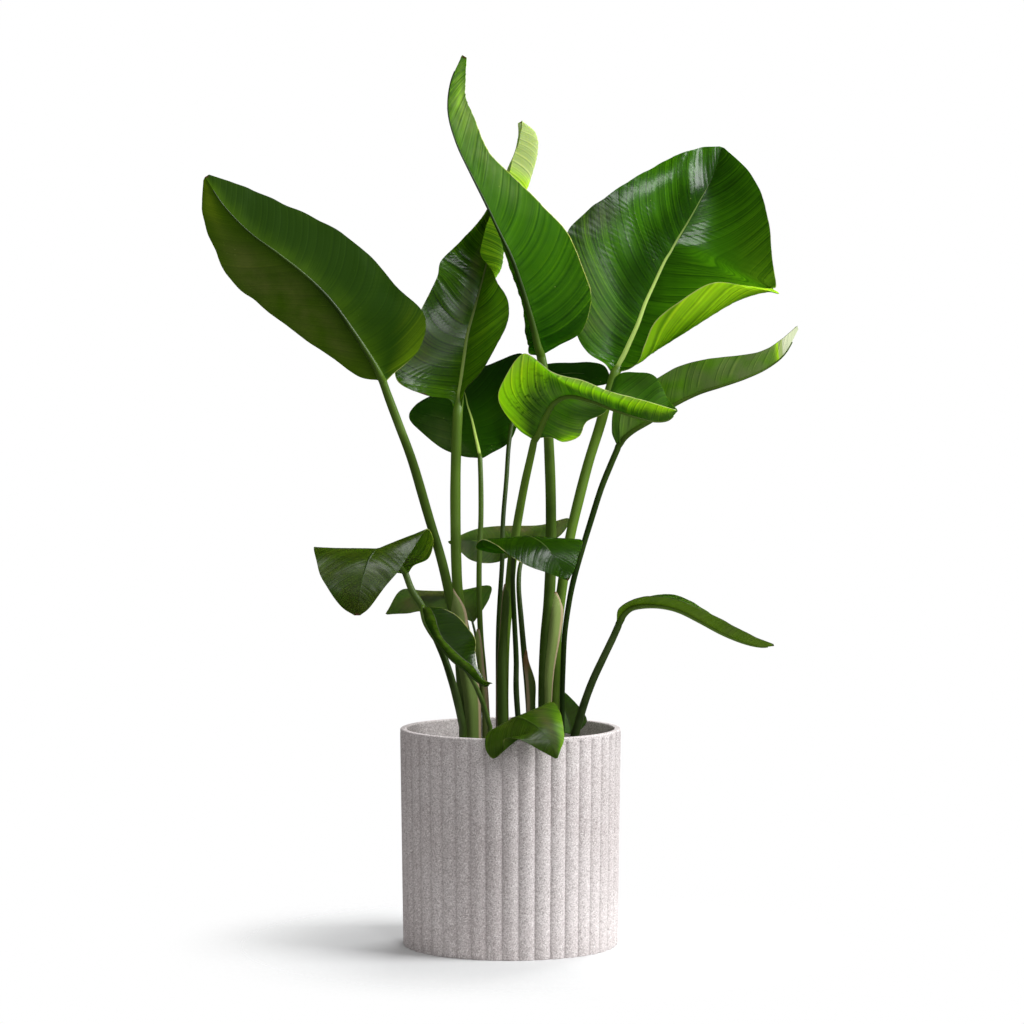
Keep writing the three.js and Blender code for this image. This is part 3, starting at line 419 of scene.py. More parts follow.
            [-9, 517, 28], [-5, 566, 40], [-2, 609, 52], [3, 639, 62], [10, 661, 70],
        ],
        "blade": [
            [[8, 663, 71], [10, 661, 70], [13, 660, 70]],
            [[7, 687, 84], [19, 674, 76], [29, 661, 70]],
            [[25, 701, 96], [31, 684, 82], [46, 664, 70]],
            [[47, 707, 106], [48, 691, 88], [63, 670, 70]],
            [[72, 708, 110], [67, 695, 90], [80, 675, 70]],
            [[97, 709, 108], [87, 695, 88], [97, 679, 70]],
            [[114, 704, 98], [105, 692, 84], [111, 681, 72]],
            [[122, 690, 80], [122, 686, 78], [121, 684, 76]],
        ],
    },
    "rim_front": {
        "upper": 1, "radii": [3, 2.6],
        "stalk": [
            [15, 265, -84], [14, 256, -90], [9, 256, -98], [3, 261, -104],
        ],
        "blade": [
            [[-1, 262, -106], [2, 264, -106], [5, 264, -105]],
            [[-21, 262, -118], [-1, 271, -112], [12, 276, -104]],
            [[-30, 253, -132], [3, 276, -120], [29, 285, -110]],
            [[-30, 237, -142], [12, 276, -129], [50, 295, -118]],
            [[-21, 226, -148], [21, 272, -137], [59, 285, -128]],
            [[-9, 236, -151], [31, 266, -143], [63, 274, -137]],
            [[-7, 250, -152], [39, 259, -147], [65, 261, -143]],
            [[12, 249, -154], [47, 249, -150], [65, 248, -147]],
            [[36, 236, -154], [52, 238, -152], [61, 237, -150]],
            [[53, 227, -153], [55, 226, -153], [58, 227, -153]],
        ],
    },
    "low_right": {
        "upper": -1, "radii": [5.2, 4.2],
        "stalk": [
            [77, 250, -6], [82, 267, -7], [90, 294, -9], [100, 321, -11], [112, 347, -13],
            [124, 372, -15], [132, 390, -17],
        ],
        "blade": [
            [[134, 392, -15], [132, 391, -17], [129, 394, -18]],
            [[140, 406, -2], [135, 401, -18], [132, 409, -28]],
            [[156, 418, 10], [146, 411, -20], [148, 420, -34]],
            [[174, 425, 16], [163, 414, -23], [167, 424, -38]],
            [[197, 426, 18], [184, 413, -26], [186, 423, -42]],
            [[218, 419, 16], [206, 407, -29], [208, 418, -45]],
            [[239, 406, 8], [231, 394, -33], [233, 408, -49]],
            [[263, 390, -4], [258, 379, -37], [257, 396, -52]],
            [[286, 378, -18], [284, 368, -42], [280, 383, -54]],
            [[307, 369, -34], [305, 363, -47], [303, 373, -54]],
            [[320, 366, -50], [321, 364, -50], [320, 366, -52]],
        ],
    },
}

# How a leaf looks, where LOOKS below doesn't say otherwise. tone is the lightness of its blade, stripe the
# contrast of its side veins and of the shade and light painted along their creases, pucker the height of the
# swellings between them, bloom its greyish waxy film together with a painted sheen, warm how olive it is,
# crest how pale the top of its midrib is, stalk the lightness of its stalk and rib that of the midrib, slim
# how fast the midrib thins out, veins the spacing of the side veins in mm, wavy how far the margin waves in
# and out, as a share of the half's width, and through how far light passes through the blade. The lists hold
# soft ellipses as (along, across, reach along, reach across, strength): glow for painted light that shines
# through the blade, which turns cream above 3.6, shade for painted shade, film for more of the waxy film
# together with a painted sheen, calm for fainter side veins, fleck for dark flecks, pale for a pale margin
# and dry for brown stretches. A negative strength does the opposite, so a negative shade paints light.
PLAIN_LOOKS = {
    "tone": 0.3, "stripe": 0.45, "pucker": 0.8, "bloom_and_sheen": 0.2, "warm": 0.0, "crest": 0.3, "stalk": 0.3,
    "rib": 0.3, "slim": 1.15, "veins": 7.0, "wavy": 0.03, "through": 0.8, "painted_glow_and_crest": [], "shade": [],
    "film_and_sheen": [], "calm": [], "fleck": [], "pale": [], "dry": [],
}
LOOKS = {
    "upper_left": {
        "tone": 0.32, "stripe": 0.28, "bloom_and_sheen": 0.0, "warm": 0.42, "stalk": 0.4, "rib": 0.22,
        "slim": 1.8, "veins": 9.0, "wavy": 0.05, "through": 0.0, "painted_glow_and_crest": [(0.2, 0.95, 0.3, 0.6, 0.3)],
        "shade": [(0.55, 0.7, 0.7, 0.8, 0.75), (0.95, -0.6, 0.25, 0.7, -0.75), (0.2, -0.8, 0.3, 0.5, -0.25)],
        "film_and_sheen": [(0.5, -0.6, 0.35, 0.45, 0.4)], "pale": [(0.1, 1.0, 0.15, 0.3, 1.5)],
        "dry": [(1.0, 0.2, 0.012, 0.8, 0.8)],
    },
    "tall_rear_left": {
        "tone": 0.45, "stripe": 1.0, "pucker": 1.4, "bloom_and_sheen": 0.0, "warm": 0.25, "crest": 0.6,
        "stalk": 0.6, "veins": 9.0, "painted_glow_and_crest": [(0.93, 0.0, 0.2, 2.0, 3.5), (0.4, 0.85, 0.22, 0.5, 0.6)],
        "shade": [(0.65, -0.7, 0.25, 0.5, 0.5), (0.5, 0.5, 0.4, 0.5, -0.35)],
        "film_and_sheen": [(0.55, -0.22, 0.25, 0.15, 0.55), (0.29, -0.65, 0.05, 0.4, 0.6)],
        "calm": [(0.95, 0.0, 0.2, 2.0, 0.8)], "pale": [(0.3, -1.0, 0.2, 0.3, 1.0)],
        "dry": [(0.16, -1.0, 0.02, 0.05, 1.0), (1.0, 0.0, 0.015, 1.0, 0.8)],
    },
    "tall_centre": {
        "tone": 0.5, "stripe": 1.0, "pucker": 3.4, "bloom_and_sheen": 0.0, "stalk": 0.4, "rib": 0.1, "slim": 2.2,
        "veins": 15.0, "wavy": 0.012,
        "painted_glow_and_crest": [(0.9, 0.3, 0.25, 1.2, 0.25), (0.85, 0.65, 0.1, 0.25, 0.2)],
        "shade": [(0.08, 0.2, 0.35, 1.5, 0.8)],
        "film_and_sheen": [(0.9, 0.4, 0.25, 0.5, 0.7), (0.75, 0.8, 0.2, 0.35, 1.0)],
        "pale": [(0.5, 1.0, 0.4, 0.3, 1.5)], "dry": [(1.0, 0.5, 0.012, 0.9, 0.9)],
    },
    "upper_right": {
        "tone": 0.6, "stripe": 1.0, "pucker": 1.5, "bloom_and_sheen": 0.0, "crest": 1.1, "stalk": 0.65,
        "rib": 0.5, "slim": 0.85, "veins": 10.0,
        "painted_glow_and_crest": [(0.35, 1.0, 0.45, 0.5, 0.7), (0.4, -0.8, 0.3, 0.5, 0.3), (0.6, 0.8, 0.3, 0.5, 0.3)],
        "shade": [(0.5, -0.15, 0.5, 0.3, 0.9), (0.95, 0.0, 0.25, 1.5, 0.7), (0.56, -1.0, 0.2, 0.3, 1.2)],
        "film_and_sheen": [(0.3, -0.75, 0.13, 0.4, 0.8), (0.3, 1.0, 0.3, 0.2, 0.5), (0.56, -0.9, 0.1, 0.3, 0.25)],
        "calm": [(0.7, 0.55, 0.09, 0.3, 0.9)], "pale": [(0.35, 1.0, 0.5, 0.3, 1.5)],
    },
    "right_arching": {
        "tone": 1.0, "stripe": 0.75, "bloom_and_sheen": 0.6, "stalk": 0.1, "rib": 0.5, "veins": 10.0,
        "through": 0.0, "painted_glow_and_crest": [(1.0, 0.0, 0.085, 2.0, 60.0)], "film_and_sheen": [(0.95, 0.0, 0.3, 2.0, 0.9)],
        "pale": [(0.6, -1.0, 0.5, 0.3, 0.8)],
    },
    "centre_bright": {
        "tone": 0.5, "stripe": 0.9, "crest": 0.5, "stalk": 0.6, "rib": 0.6, "veins": 8.0,
        "painted_glow_and_crest": [(0.6, -1.0, 0.75, 0.7, 1.4), (0.23, 1.0, 0.07, 0.15, 1.1), (0.25, 0.8, 0.2, 0.5, 0.35)],
        "shade": [(0.15, -0.35, 0.2, 0.3, 0.7), (0.72, 0.7, 0.15, 0.5, 0.35), (0.42, 0.1, 0.2, 0.4, -0.6)],
        "film_and_sheen": [(0.25, 0.7, 0.15, 0.4, 0.5), (0.42, 0.1, 0.2, 0.4, 0.7)],
        "fleck": [(0.25, -0.45, 0.2, 0.3, 0.75)],
        "pale": [(0.6, -1.0, 0.7, 0.3, 1.5), (0.3, 1.0, 0.3, 0.3, 1.5)],
    },
    "dark_middle": {
        "tone": -0.6, "pucker": 1.1, "bloom_and_sheen": 0.0, "crest": 0.95, "stalk": 0.45, "veins": 9.0,
        "film_and_sheen": [(0.3, -0.7, 0.25, 0.4, 0.35)],
    },
    "dark_rear": {
        "tone": -0.6, "bloom_and_sheen": 0.0, "stalk": 0.2, "veins": 8.0, "pale": [(0.2, 1.0, 0.3, 0.3, 1.0)],
    },
    "left_saddle": {
        "tone": -0.05, "pucker": 1.4, "bloom_and_sheen": 0.11, "warm": 0.5, "crest": 0.0, "veins": 8.0,
        "painted_glow_and_crest": [(0.3, 1.0, 0.35, 0.5, 0.22)], "pale": [(0.3, 1.0, 0.3, 0.3, 1.0)],
        "dry": [(1.0, 0.0, 0.04, 1.0, 1.0)],
    },
    "low_rear_left": {
        "tone": 0.55, "bloom_and_sheen": 0.55, "warm": 0.25, "crest": 0.05, "stalk": 0.2,
        "shade": [(0.56, 0.1, 0.14, 0.6, 1.4), (0.45, 0.9, 0.2, 0.2, 0.3)],
        "film_and_sheen": [(0.8, 0.0, 0.15, 1.0, 0.5)], "dry": [(1.0, 0.0, 0.04, 1.0, 0.6)],
    },
    "low_front_left": {
        "tone": -0.05, "pucker": 1.4, "bloom_and_sheen": 0.0, "warm": 0.4, "crest": 0.15, "stalk": 0.4,
        "veins": 6.0, "painted_glow_and_crest": [(0.5, -0.8, 0.8, 0.5, 0.4)],
        "shade": [(0.2, 0.0, 0.3, 1.0, 0.5), (0.5, 0.6, 0.5, 0.5, 0.45)],
        "film_and_sheen": [(0.5, -0.8, 0.8, 0.5, 0.5)], "pale": [(0.5, 1.0, 0.6, 0.3, 1.2)],
        "dry": [(0.0, 0.0, 0.03, 1.0, 0.7)],
    },
    "middle_front": {
        "tone": -0.2, "pucker": 1.6, "bloom_and_sheen": 0.0, "warm": 0.2, "crest": 0.0, "stalk": 0.0,
        "shade": [(0.6, 0.2, 0.3, 0.5, 0.4)], "pale": [(0.5, -1.0, 0.4, 0.3, 1.0)],
        "dry": [(1.0, 0.0, 0.03, 1.0, 0.8)],
    },
    "middle_rear": {
        "bloom_and_sheen": 0.5, "warm": 0.2, "rib": 0.7, "shade": [(0.8, -0.3, 0.25, 0.8, 0.5)],
        "film_and_sheen": [(0.5, 0.9, 0.3, 0.35, 0.8)], "pale": [(0.5, 0.0, 0.5, 2.0, 0.8)],
    },
    "low_rear_right": {
        "tone": 0.6, "bloom_and_sheen": 0.6, "stalk": 0.2, "veins": 6.0,
    },
    "rim_front": {
        "tone": 0.0, "stripe": 0.5, "pucker": 1.3, "bloom_and_sheen": 0.15, "warm": 0.4, "veins": 6.0,
        "painted_glow_and_crest": [(0.7, 1.0, 0.4, 0.5, 0.9)], "film_and_sheen": [(0.55, 0.45, 0.4, 0.3, 0.35)],
        "pale": [(0.6, 0.0, 0.6, 2.0, 0.8)],
    },
    "low_right": {
        "tone": 1.05, "stripe": 0.4, "bloom_and_sheen": 0.1, "warm": 0.2, "stalk": 0.1, "rib": 0.9, "veins": 6.0,
        "through": 0.0, "shade": [(0.4, -1.0, 0.5, 0.7, 1.2)], "film_and_sheen": [(0.75, 0.0, 0.3, 1.5, 0.3)],
        "pale": [(0.5, 0.0, 0.6, 2.0, 0.6)], "dry": [(1.0, 0.0, 0.02, 1.0, 1.0)],
    },
}

# The free margin of each sheath: -1 for its left edge and 1 for its right one, with its lightness and
# how far it has dried
SHEATHS = {
    "upper_left": (1, 0.5, 0.0),
    "tall_centre": (1, 0.62, 0.0),
    "centre_bright": (-1, 0.15, 0.0),
    "dark_middle": (1, 0.9, 0.0),
    "middle_rear": (-1, 0.25, 1.0),
}

# The values that a leaf's vertices carry for its materials
MARKS = ("tone", "stripe", "bloom_and_sheen", "warm", "painted_glow_and_crest", "fleck", "pale", "dry")


class Ring(NamedTuple):
    """One ring of a stalk or midrib, and what its material reads there. upper points to the blade's
    upper side, and the longer it is, the paler is the crest of the midrib."""
    point: Vector
    radius: float
    tone: float
    dry: float
    bloom_and_sheen: float = 1.0
    upper: Vector = Vector((0.0, 0.0, 0.0))


# Shader nodes

class Wire:
    """A node's output, which adds Math nodes when it is used in sums."""

    def __init__(self, surface, socket):
        self.surface = surface
        self.socket = socket

    def sum(self, operation, first, second):
        return self.surface.node("ShaderNodeMath", {"operation": operation}, {0: first, 1: second})

    def __add__(self, other):
        return self.sum("ADD", self, other)

    def __sub__(self, other):
        return self.sum("SUBTRACT", self, other)

    def __rsub__(self, other):
        return self.sum("SUBTRACT", other, self)

    def __mul__(self, other):
        return self.sum("MULTIPLY", self, other)

    __radd__ = __add__
    __rmul__ = __mul__


class Surface:
    """The nodes of a material or of a world"""

    def __init__(self, name, world=False):
        self.holder = (bpy.data.worlds if world else bpy.data.materials).new(name)
        self.holder.use_nodes = True
        self.tree = self.holder.node_tree
        self.tree.nodes.clear()

    def node(self, kind, settings=None, values=None, output=0):
        node = self.tree.nodes.new(kind)
        for key, value in (settings or {}).items():
            setattr(node, key, value)
        for key, value in (values or {}).items():
            if isinstance(value, Wire):
                self.tree.links.new(value.socket, node.inputs[key])
            else:
                node.inputs[key].default_value = value
        return Wire(self, node.outputs[output]) if node.outputs else None

    def place(self):
        return self.node("ShaderNodeTexCoord", output="Object")

    def attribute(self, name):
        return self.node("ShaderNodeAttribute", {"attribute_name": name}, output="Fac")

    def two(self, kind, value):
        """The first two numbers of a vector or a colour"""
        first = self.node(kind, values={0: value})
        return first, Wire(self, first.socket.node.outputs[1])

    def map(self, name):
        """The two numbers of a UV map"""
        return self.two("ShaderNodeSeparateXYZ", self.node("ShaderNodeUVMap", {"uv_map": name}))

    def ease(self, value, low, high, start=0.0, end=1.0):
        """0 below low, 1 above high, and smooth between"""
        return self.node("ShaderNodeMapRange", {"interpolation_type": "SMOOTHSTEP"},
                         {"Value": value, "From Min": low, "From Max": high, "To Min": start, "To Max": end})

    def fade(self, value, low, high):
        """1 below low, 0 above high, and smooth between"""
        return self.ease(value, low, high, 1.0, 0.0)

    def grain(self, vector, scale, detail=2.0, roughness=0.5):
        """Noise in space"""
        return self.node("ShaderNodeTexNoise", {"noise_dimensions": "3D"},
                         {"Vector": vector, "Scale": scale, "Detail": detail, "Roughness": roughness})

    def streak(self, value, scale, detail):
        """Noise along one number"""
        return self.node("ShaderNodeTexNoise", {"noise_dimensions": "1D"},
                         {"W": value, "Scale": scale, "Detail": detail})

    def cells(self, vector, scale, output="Distance"):
        values = {"Vector": vector, "Scale": scale}
        return self.node("ShaderNodeTexVoronoi", {"feature": "F1"}, values, output)

    def blend(self, share, first, second, how="MIX"):
        return self.node("ShaderNodeMix", {"data_type": "RGBA", "blend_type": how, "clamp_factor": True},
                         {0: share, 6: first, 7: second}, 2)

    def turn(self, value, low, high, first, second):
        """The first colour where the value is below low, the second above high"""
        return self.blend(self.ease(value, low, high), first, second)

    def bump(self, height, distance, strength, under=None):
        values = {"Height": height, "Distance": distance, "Strength": strength}
        if under is not None:
            values["Normal"] = under
        return self.node("ShaderNodeBump", values=values)

    def finish(self, values):
        shader = self.node("ShaderNodeBsdfPrincipled", values=values)
        self.node("ShaderNodeOutputMaterial", values={"Surface": shader})
        return self.holder


def colour(red, green, blue):
    return (red, green, blue, 1.0)


# Materials

def spots(surface, base):
    """Scattered small pale flecks over a green"""
    place = surface.place()
    dots = surface.fade(surface.cells(place, 140.0), 0.06, 0.12)
    mask = dots * surface.ease(surface.grain(place, 30.0), 0.62, 0.7)
    return surface.blend(mask * 0.5, base, colour(0.3, 0.36, 0.1))


def crease_lines(surface, vein, offset, reach):
    """1 along the side veins, which lie where the vein number plus offset is whole"""
    place = surface.node("ShaderNodeMath", {"operation": "PINGPONG"}, {0: vein + offset, 1: 0.5})
    return surface.fade(place, 0.0, reach)


def pale_share(surface, vein):
    """How far a margin has paled, unevenly from vein to vein"""
    return surface.ease(surface.attribute("pale") * surface.streak(vein, 0.6, 2.0), 0.2, 0.6)


def dry_share(surface, scale, detail, reach, low, high):
    """How far a leaf has dried, with a speckled edge"""
    speckle = surface.grain(surface.place(), scale, detail) - 0.5
    return surface.ease(surface.attribute("dry") + speckle * reach, low, high)


def fibres(surface, along, across, count, height, strength):
    """Fine ridges along a stalk or a sheath"""
    return surface.bump(surface.streak(across * count + along * 2.0, 4.0, 3.0), height, strength)


def blade_green(surface, vein, fine, greens):
    """Green of one side of a blade, from its dark, middle, light, bright and waxy green: side veins with
    painted shade in their creases and painted light beside them, bands between them, painted glow where
    light shines through the blade, the waxy film with painted sheen, painted shade and dry spots"""
    dark, middle, light, bright, waxy_and_sheen = greens
    rib, edge = surface.map("span")
    place = surface.place()
    stripe = surface.attribute("stripe")
    painted_glow_and_crest = surface.attribute("painted_glow_and_crest")
    bands = surface.streak(vein, 0.9, 1.0)
    patches = surface.grain(place, 11.0, 3.0) - 0.5
    mottles = surface.grain(place, 45.0, 3.0) - 0.5
    # The tone mark carries painted shade, and painted light where a shade spot is negative
    share = surface.attribute("tone") + (fine * 0.9 + bands * 0.8 - 0.85) * stripe
    share = share + patches * 0.9 + mottles * 0.35
    green = surface.turn(share, -0.4, 0.7, dark, middle)
    green = surface.turn(share, 0.5, 1.3, green, light)
    # Waxy film together with painted sheen, where the leaf's bloom and its film spots lie
    film_and_sheen = surface.attribute("bloom_and_sheen") * surface.ease(surface.grain(place, 30.0, 3.0), 0.2, 0.8) * 1.2
    green = surface.blend(film_and_sheen, green, waxy_and_sheen)
    # Painted glow: bright green, then pale and cream, where light is painted shining through the blade
    green = surface.turn(painted_glow_and_crest + (fine + bands - 1.0) * stripe * 0.5, 0.1, 1.1, green, bright)
    green = surface.turn(painted_glow_and_crest, 1.0, 1.6, green, colour(0.4, 0.52, 0.17))
    green = surface.turn(painted_glow_and_crest, 3.6, 5.0, green, colour(0.6, 0.66, 0.42))
    olive = surface.attribute("warm") * surface.fade(painted_glow_and_crest, 0.0, 0.5)
    green = surface.blend(olive, green, colour(2.1, 0.78, 1.0), "MULTIPLY")
    dashes = surface.ease(surface.grain(place, 210.0, 2.0), 0.54, 0.64)
    green = surface.blend(dashes * surface.attribute("fleck"), green, dark)
    # Painted shade in the creases along the side veins, and painted light on the swelling just beside them
    painted_crease_share = surface.ease(surface.streak(vein + 3.7, 0.8, 0.0), 0.25, 0.55) * stripe
    painted_crease_share = painted_crease_share * surface.ease(rib, 0.003, 0.012)
    for offset, strength, tint in ((0.0, 0.8, colour(0.35, 0.45, 0.4)), (-0.2, 0.7, colour(1.9, 1.6, 1.6))):
        line = crease_lines(surface, vein, offset, 0.15) * painted_crease_share * strength
        green = surface.blend(line, green, tint, "MULTIPLY")
    green = spots(surface, green)
    hem = surface.fade(edge, 0.0003, 0.0012) * pale_share(surface, vein)
    green = surface.blend(hem * 0.8, green, colour(0.5, 0.52, 0.18))
    return surface.blend(dry_share(surface, 260.0, 2.0, 0.5, 0.35, 0.75), green, colour(0.07, 0.028, 0.012))


def vein_relief(surface, vein, fine, strength):
    """Fine ridges along the veins, with a sharper line at each crease"""
    height = fine * 0.4 - crease_lines(surface, vein, 0.0, 0.3) * 0.7
    return surface.bump(height, 0.0003, strength)


def upper_material():
    surface = Surface("leaf_upper")
    # The bright green paints glow where light shines through; the waxy green also paints sheen
    greens = (colour(0.01, 0.045, 0.0005), colour(0.04, 0.155, 0.001), colour(0.11, 0.32, 0.002),
              colour(0.2, 0.42, 0.01), colour(0.1, 0.13, 0.035))
    vein, _ = surface.map("vein")
    fine = surface.streak(vein, 6.0, 3.0)
    cloud = surface.grain(surface.place(), 22.0, 3.0)
    roughness = 0.19 + surface.attribute("bloom_and_sheen") * 0.6 + (cloud - 0.5) * 0.15 + (fine - 0.5) * 0.05
    return surface.finish({
        "Base Color": blade_green(surface, vein, fine, greens), "Roughness": roughness,
        "Normal": vein_relief(surface, vein, fine, 0.2), "Specular IOR Level": 0.26,
        "Subsurface Weight": 0.5, "Subsurface Radius": (0.8, 1.0, 0.2), "Subsurface Scale": 0.002,
    })


def under_material(name, through):
    """Underside of a blade. through is how far light passes through the blade."""
    surface = Surface(name)
    # The bright green paints glow where light shines through; the waxy green also paints sheen
    greens = (colour(0.01, 0.05, 0.0005), colour(0.04, 0.145, 0.001), colour(0.12, 0.32, 0.003),
              colour(0.42, 0.8, 0.01), colour(0.17, 0.24, 0.075))
    vein, _ = surface.map("vein")
    fine = surface.streak(vein, 6.0, 3.0)
    return surface.finish({
        "Base Color": blade_green(surface, vein, fine, greens), "Roughness": 0.5 + (fine - 0.5) * 0.15,
        "Normal": vein_relief(surface, vein, fine, 0.4), "Specular IOR Level": 0.05,
        "Subsurface Weight": through, "Subsurface Radius": (0.8, 1.0, 0.2), "Subsurface Scale": 0.003,
    })


def margin_material():
    surface = Surface("leaf_margin")
    vein, _ = surface.map("vein")
    tint = surface.blend(pale_share(surface, vein), colour(0.035, 0.05, 0.008), colour(0.45, 0.54, 0.2))
    return surface.finish({"Base Color": tint, "Roughness": 0.5, "Specular IOR Level": 0.2})


def stalk_material():
    """Green with fine streaks, waxy film and painted sheen, a pale crest along the midrib and a brown foot"""
    surface = Surface("leaf_stalk")
    along, across = surface.map("vein")
    place = surface.place()
    threads = surface.streak(across * 40.0 + along * 1.5, 3.0, 4.0) - 0.5
    clouds = surface.grain(place, 14.0, 3.0) - 0.5
    share = surface.attribute("tone") + threads * 0.35 + clouds * 0.7
    green = surface.turn(share, 0.0, 1.0, colour(0.012, 0.032, 0.001), colour(0.135, 0.25, 0.018))
    # Waxy film together with painted sheen, in patches along the stalk
    bloom_and_sheen = surface.ease(surface.grain(place, 7.0, 4.0, 0.6), 0.5, 0.75) * surface.attribute("bloom_and_sheen")
    green = surface.blend(bloom_and_sheen * 0.3, green, colour(0.2, 0.27, 0.1))
    green = surface.turn(surface.attribute("painted_glow_and_crest"), 0.25, 0.95, green, colour(0.5, 0.68, 0.14))
    green = surface.blend(dry_share(surface, 120.0, 3.0, 0.6, 0.35, 0.8), green, colour(0.1, 0.045, 0.02))
    return surface.finish({"Base Color": green, "Roughness": 0.36 + clouds * 0.2, "Specular IOR Level": 0.3,
                           "Normal": fibres(surface, along, across, 90.0, 0.0002, 0.4)})


def sheath_material():
    """Green like the stalk, with a pale pinkish free margin and a brown tip"""
    surface = Surface("leaf_sheath")
    along, across = surface.map("vein")
    threads = surface.streak(across * 30.0 + along * 2.0, 3.0, 4.0) - 0.5
    green = surface.turn(surface.attribute("tone") + threads * 0.8, 0.0, 1.0,
                         colour(0.035, 0.08, 0.004), colour(0.36, 0.46, 0.13))
    hem = surface.ease(surface.attribute("pale") + threads * 0.5, 0.25, 0.75)
    green = surface.blend(hem * 0.85, green, colour(0.46, 0.34, 0.22))
    green = surface.blend(dry_share(surface, 90.0, 3.0, 0.5, 0.3, 0.8), green, colour(0.2, 0.1, 0.035))
    return surface.finish({"Base Color": green, "Roughness": 0.5, "Specular IOR Level": 0.2,
                           "Normal": fibres(surface, along, across, 70.0, 0.0003, 0.6)})


def stone_material(settings):
    """Cast stone: a warm pinkish grey with fine white, grey and beige grains, slightly rough, with painted
    shade in its grooves
    """
    surface = Surface("speckled_stone")
    place = surface.place()
    cloud = surface.grain(place, 9.0, 4.0, 0.55)
    base = surface.turn(cloud, 0.3, 0.7, settings.stone_dark, settings.stone_light)
    pale_pick, dark_pick = surface.two("ShaderNodeSeparateColor", surface.cells(place, 1050.0, "Color"))
    hollow = surface.attribute("hollow")
    specks = surface.grain(place, 1300.0, 2.0, 0.6)
    for share, low, high, strength, tint in (
            (pale_pick, 0.55, 0.9, 0.65, settings.grain_light),
            (dark_pick, 0.6, 0.95, 0.62, settings.grain_dark),
            # Painted shade, darker where the grooves are deep
            (hollow, 0.6, 2.6, 0.2, settings.painted_groove_shade),
            (specks, 0.56, 0.7, 0.3, settings.speck_tint)):
        base = surface.blend(surface.ease(share, low, high) * strength, base, tint)
    rough = surface.bump(surface.grain(place, 900.0, 3.0, 0.65), 0.0003, 0.7)
    pits = surface.bump(surface.fade(surface.cells(place, 330.0), 0.05, 0.3), -0.0002, 0.4, rough)
    return surface.finish({"Base Color": base, "Roughness": 0.85, "Normal": pits, "Specular IOR Level": 0.2})


def nursery_plastic_material():
    """Black plastic with some dust"""
    surface = Surface("nursery_plastic")
    place = surface.place()
    dust = surface.ease(surface.grain(place, 18.0, 4.0, 0.6), 0.5, 0.75)
    base = surface.blend(dust * 0.35, colour(0.012, 0.012, 0.013), colour(0.09, 0.075, 0.06))
    normal = surface.bump(surface.grain(place, 300.0, 2.0), 0.0001, 0.5)
    return surface.finish({"Base Color": base, "Roughness": 0.42 + dust * 0.3, "Normal": normal})


def soil_material():
    """Dark crumbs with some paler fibres"""
    surface = Surface("potting_mix")
    place = surface.place()
    crumbs = surface.grain(place, 120.0, 4.0, 0.65)
    base = surface.turn(crumbs, 0.35, 0.7, colour(0.012, 0.008, 0.006), colour(0.075, 0.045, 0.028))
    fibre = surface.ease(surface.grain(place, 300.0, 2.0), 0.66, 0.74)
    base = surface.blend(fibre * 0.7, base, colour(0.2, 0.13, 0.08))
    normal = surface.bump(surface.grain(place, 260.0, 4.0, 0.7), 0.0012, 0.9)
    return surface.finish({"Base Color": base, "Roughness": 0.95, "Normal": normal})


def bark_material():
    surface = Surface("bark_chips")
    place = surface.place()
    layers = surface.grain(place, 160.0, 3.0)
    base = surface.turn(layers, 0.35, 0.7, colour(0.03, 0.016, 0.01), colour(0.17, 0.09, 0.05))
    normal = surface.bump(surface.grain(place, 420.0, 3.0), 0.0005, 0.8)
    return surface.finish({"Base Color": base, "Roughness": 0.85, "Normal": normal})


def perlite_material():
    surface = Surface("perlite")
    base = surface.blend(surface.grain(surface.place(), 300.0, 3.0), colour(0.55, 0.53, 0.5),
                         colour(0.82, 0.81, 0.78))
    return surface.finish({"Base Color": base, "Roughness": 0.9})


def floor_material(settings):
    """Plain pale floor that thins out to the white of the studio far from the pot"""
    surface = Surface("studio_floor")
    away = surface.node("ShaderNodeVectorMath", {"operation": "LENGTH"}, {0: surface.place()}, "Value")
    return surface.finish({"Base Color": settings.floor_colour, "Roughness": 0.7, "Specular IOR Level": 0.1,
                           "Alpha": surface.fade(away, 0.16, 0.43)})


# Places and curves of the leaves

def put(point):
    """A leaf point in metres, moved along its line of sight by its depth"""
    across, height, depth = (value * MM for value in point)
    scale = 1 - depth / EYE.y
    return Vector((across * scale, depth, EYE.z + (height - EYE.z) * scale))


def curve_point(points, share):
    """A smooth curve through the points, read at a share of its point count"""
    last = len(points) - 1
    position = min(max(share, 0.0), 1.0) * last
    index = min(int(position), last - 1)
    t = position - index
    b, c = points[index], points[index + 1]
    a = points[index - 1] if index > 0 else b * 2 - c
    d = points[index + 2] if index + 2 <= last else c * 2 - b
    along, following = (c - a) * 0.5, (d - b) * 0.5
    rise = t * t * (3 - 2 * t)
    return b * (1 - rise) + c * rise + along * (t * (1 - t) ** 2) - following * (t * t * (1 - t))


def arch_point(a, b, c, share):
    """The quadratic through three points at shares 0, 1/2 and 1"""
    rest = 1 - share
    return a * (rest * (rest - share)) + b * (4 * share * rest) + c * (share * (share - rest))


def full_row(row):
    """A row's left margin, left middle, midrib, right middle and right margin"""
    points = [put(point) for point in row]
    if len(points) == 5:
        return points
    left, middle, right = points
    return [left, left.lerp(middle, 0.5), middle, middle.lerp(right, 0.5), right]


def lengthwise(rows):
    """The five curves that run along a blade or a sheath"""
    full_rows = [full_row(row) for row in rows]
    return [[row[k] for row in full_rows] for k in range(5)]


def cross_section(columns, share):
    """The places of the five curves at a share of their length"""
    return [curve_point(points, share) for points in columns]


def section_point(section, across):
    """A point of a cross-section: across runs from -1 at the left margin to 1 at the right one"""
    left, left_middle, middle, right_middle, right = section
    if across < 0:
        return arch_point(left, left_middle, middle, 1 + across)
    return arch_point(middle, right_middle, right, across)


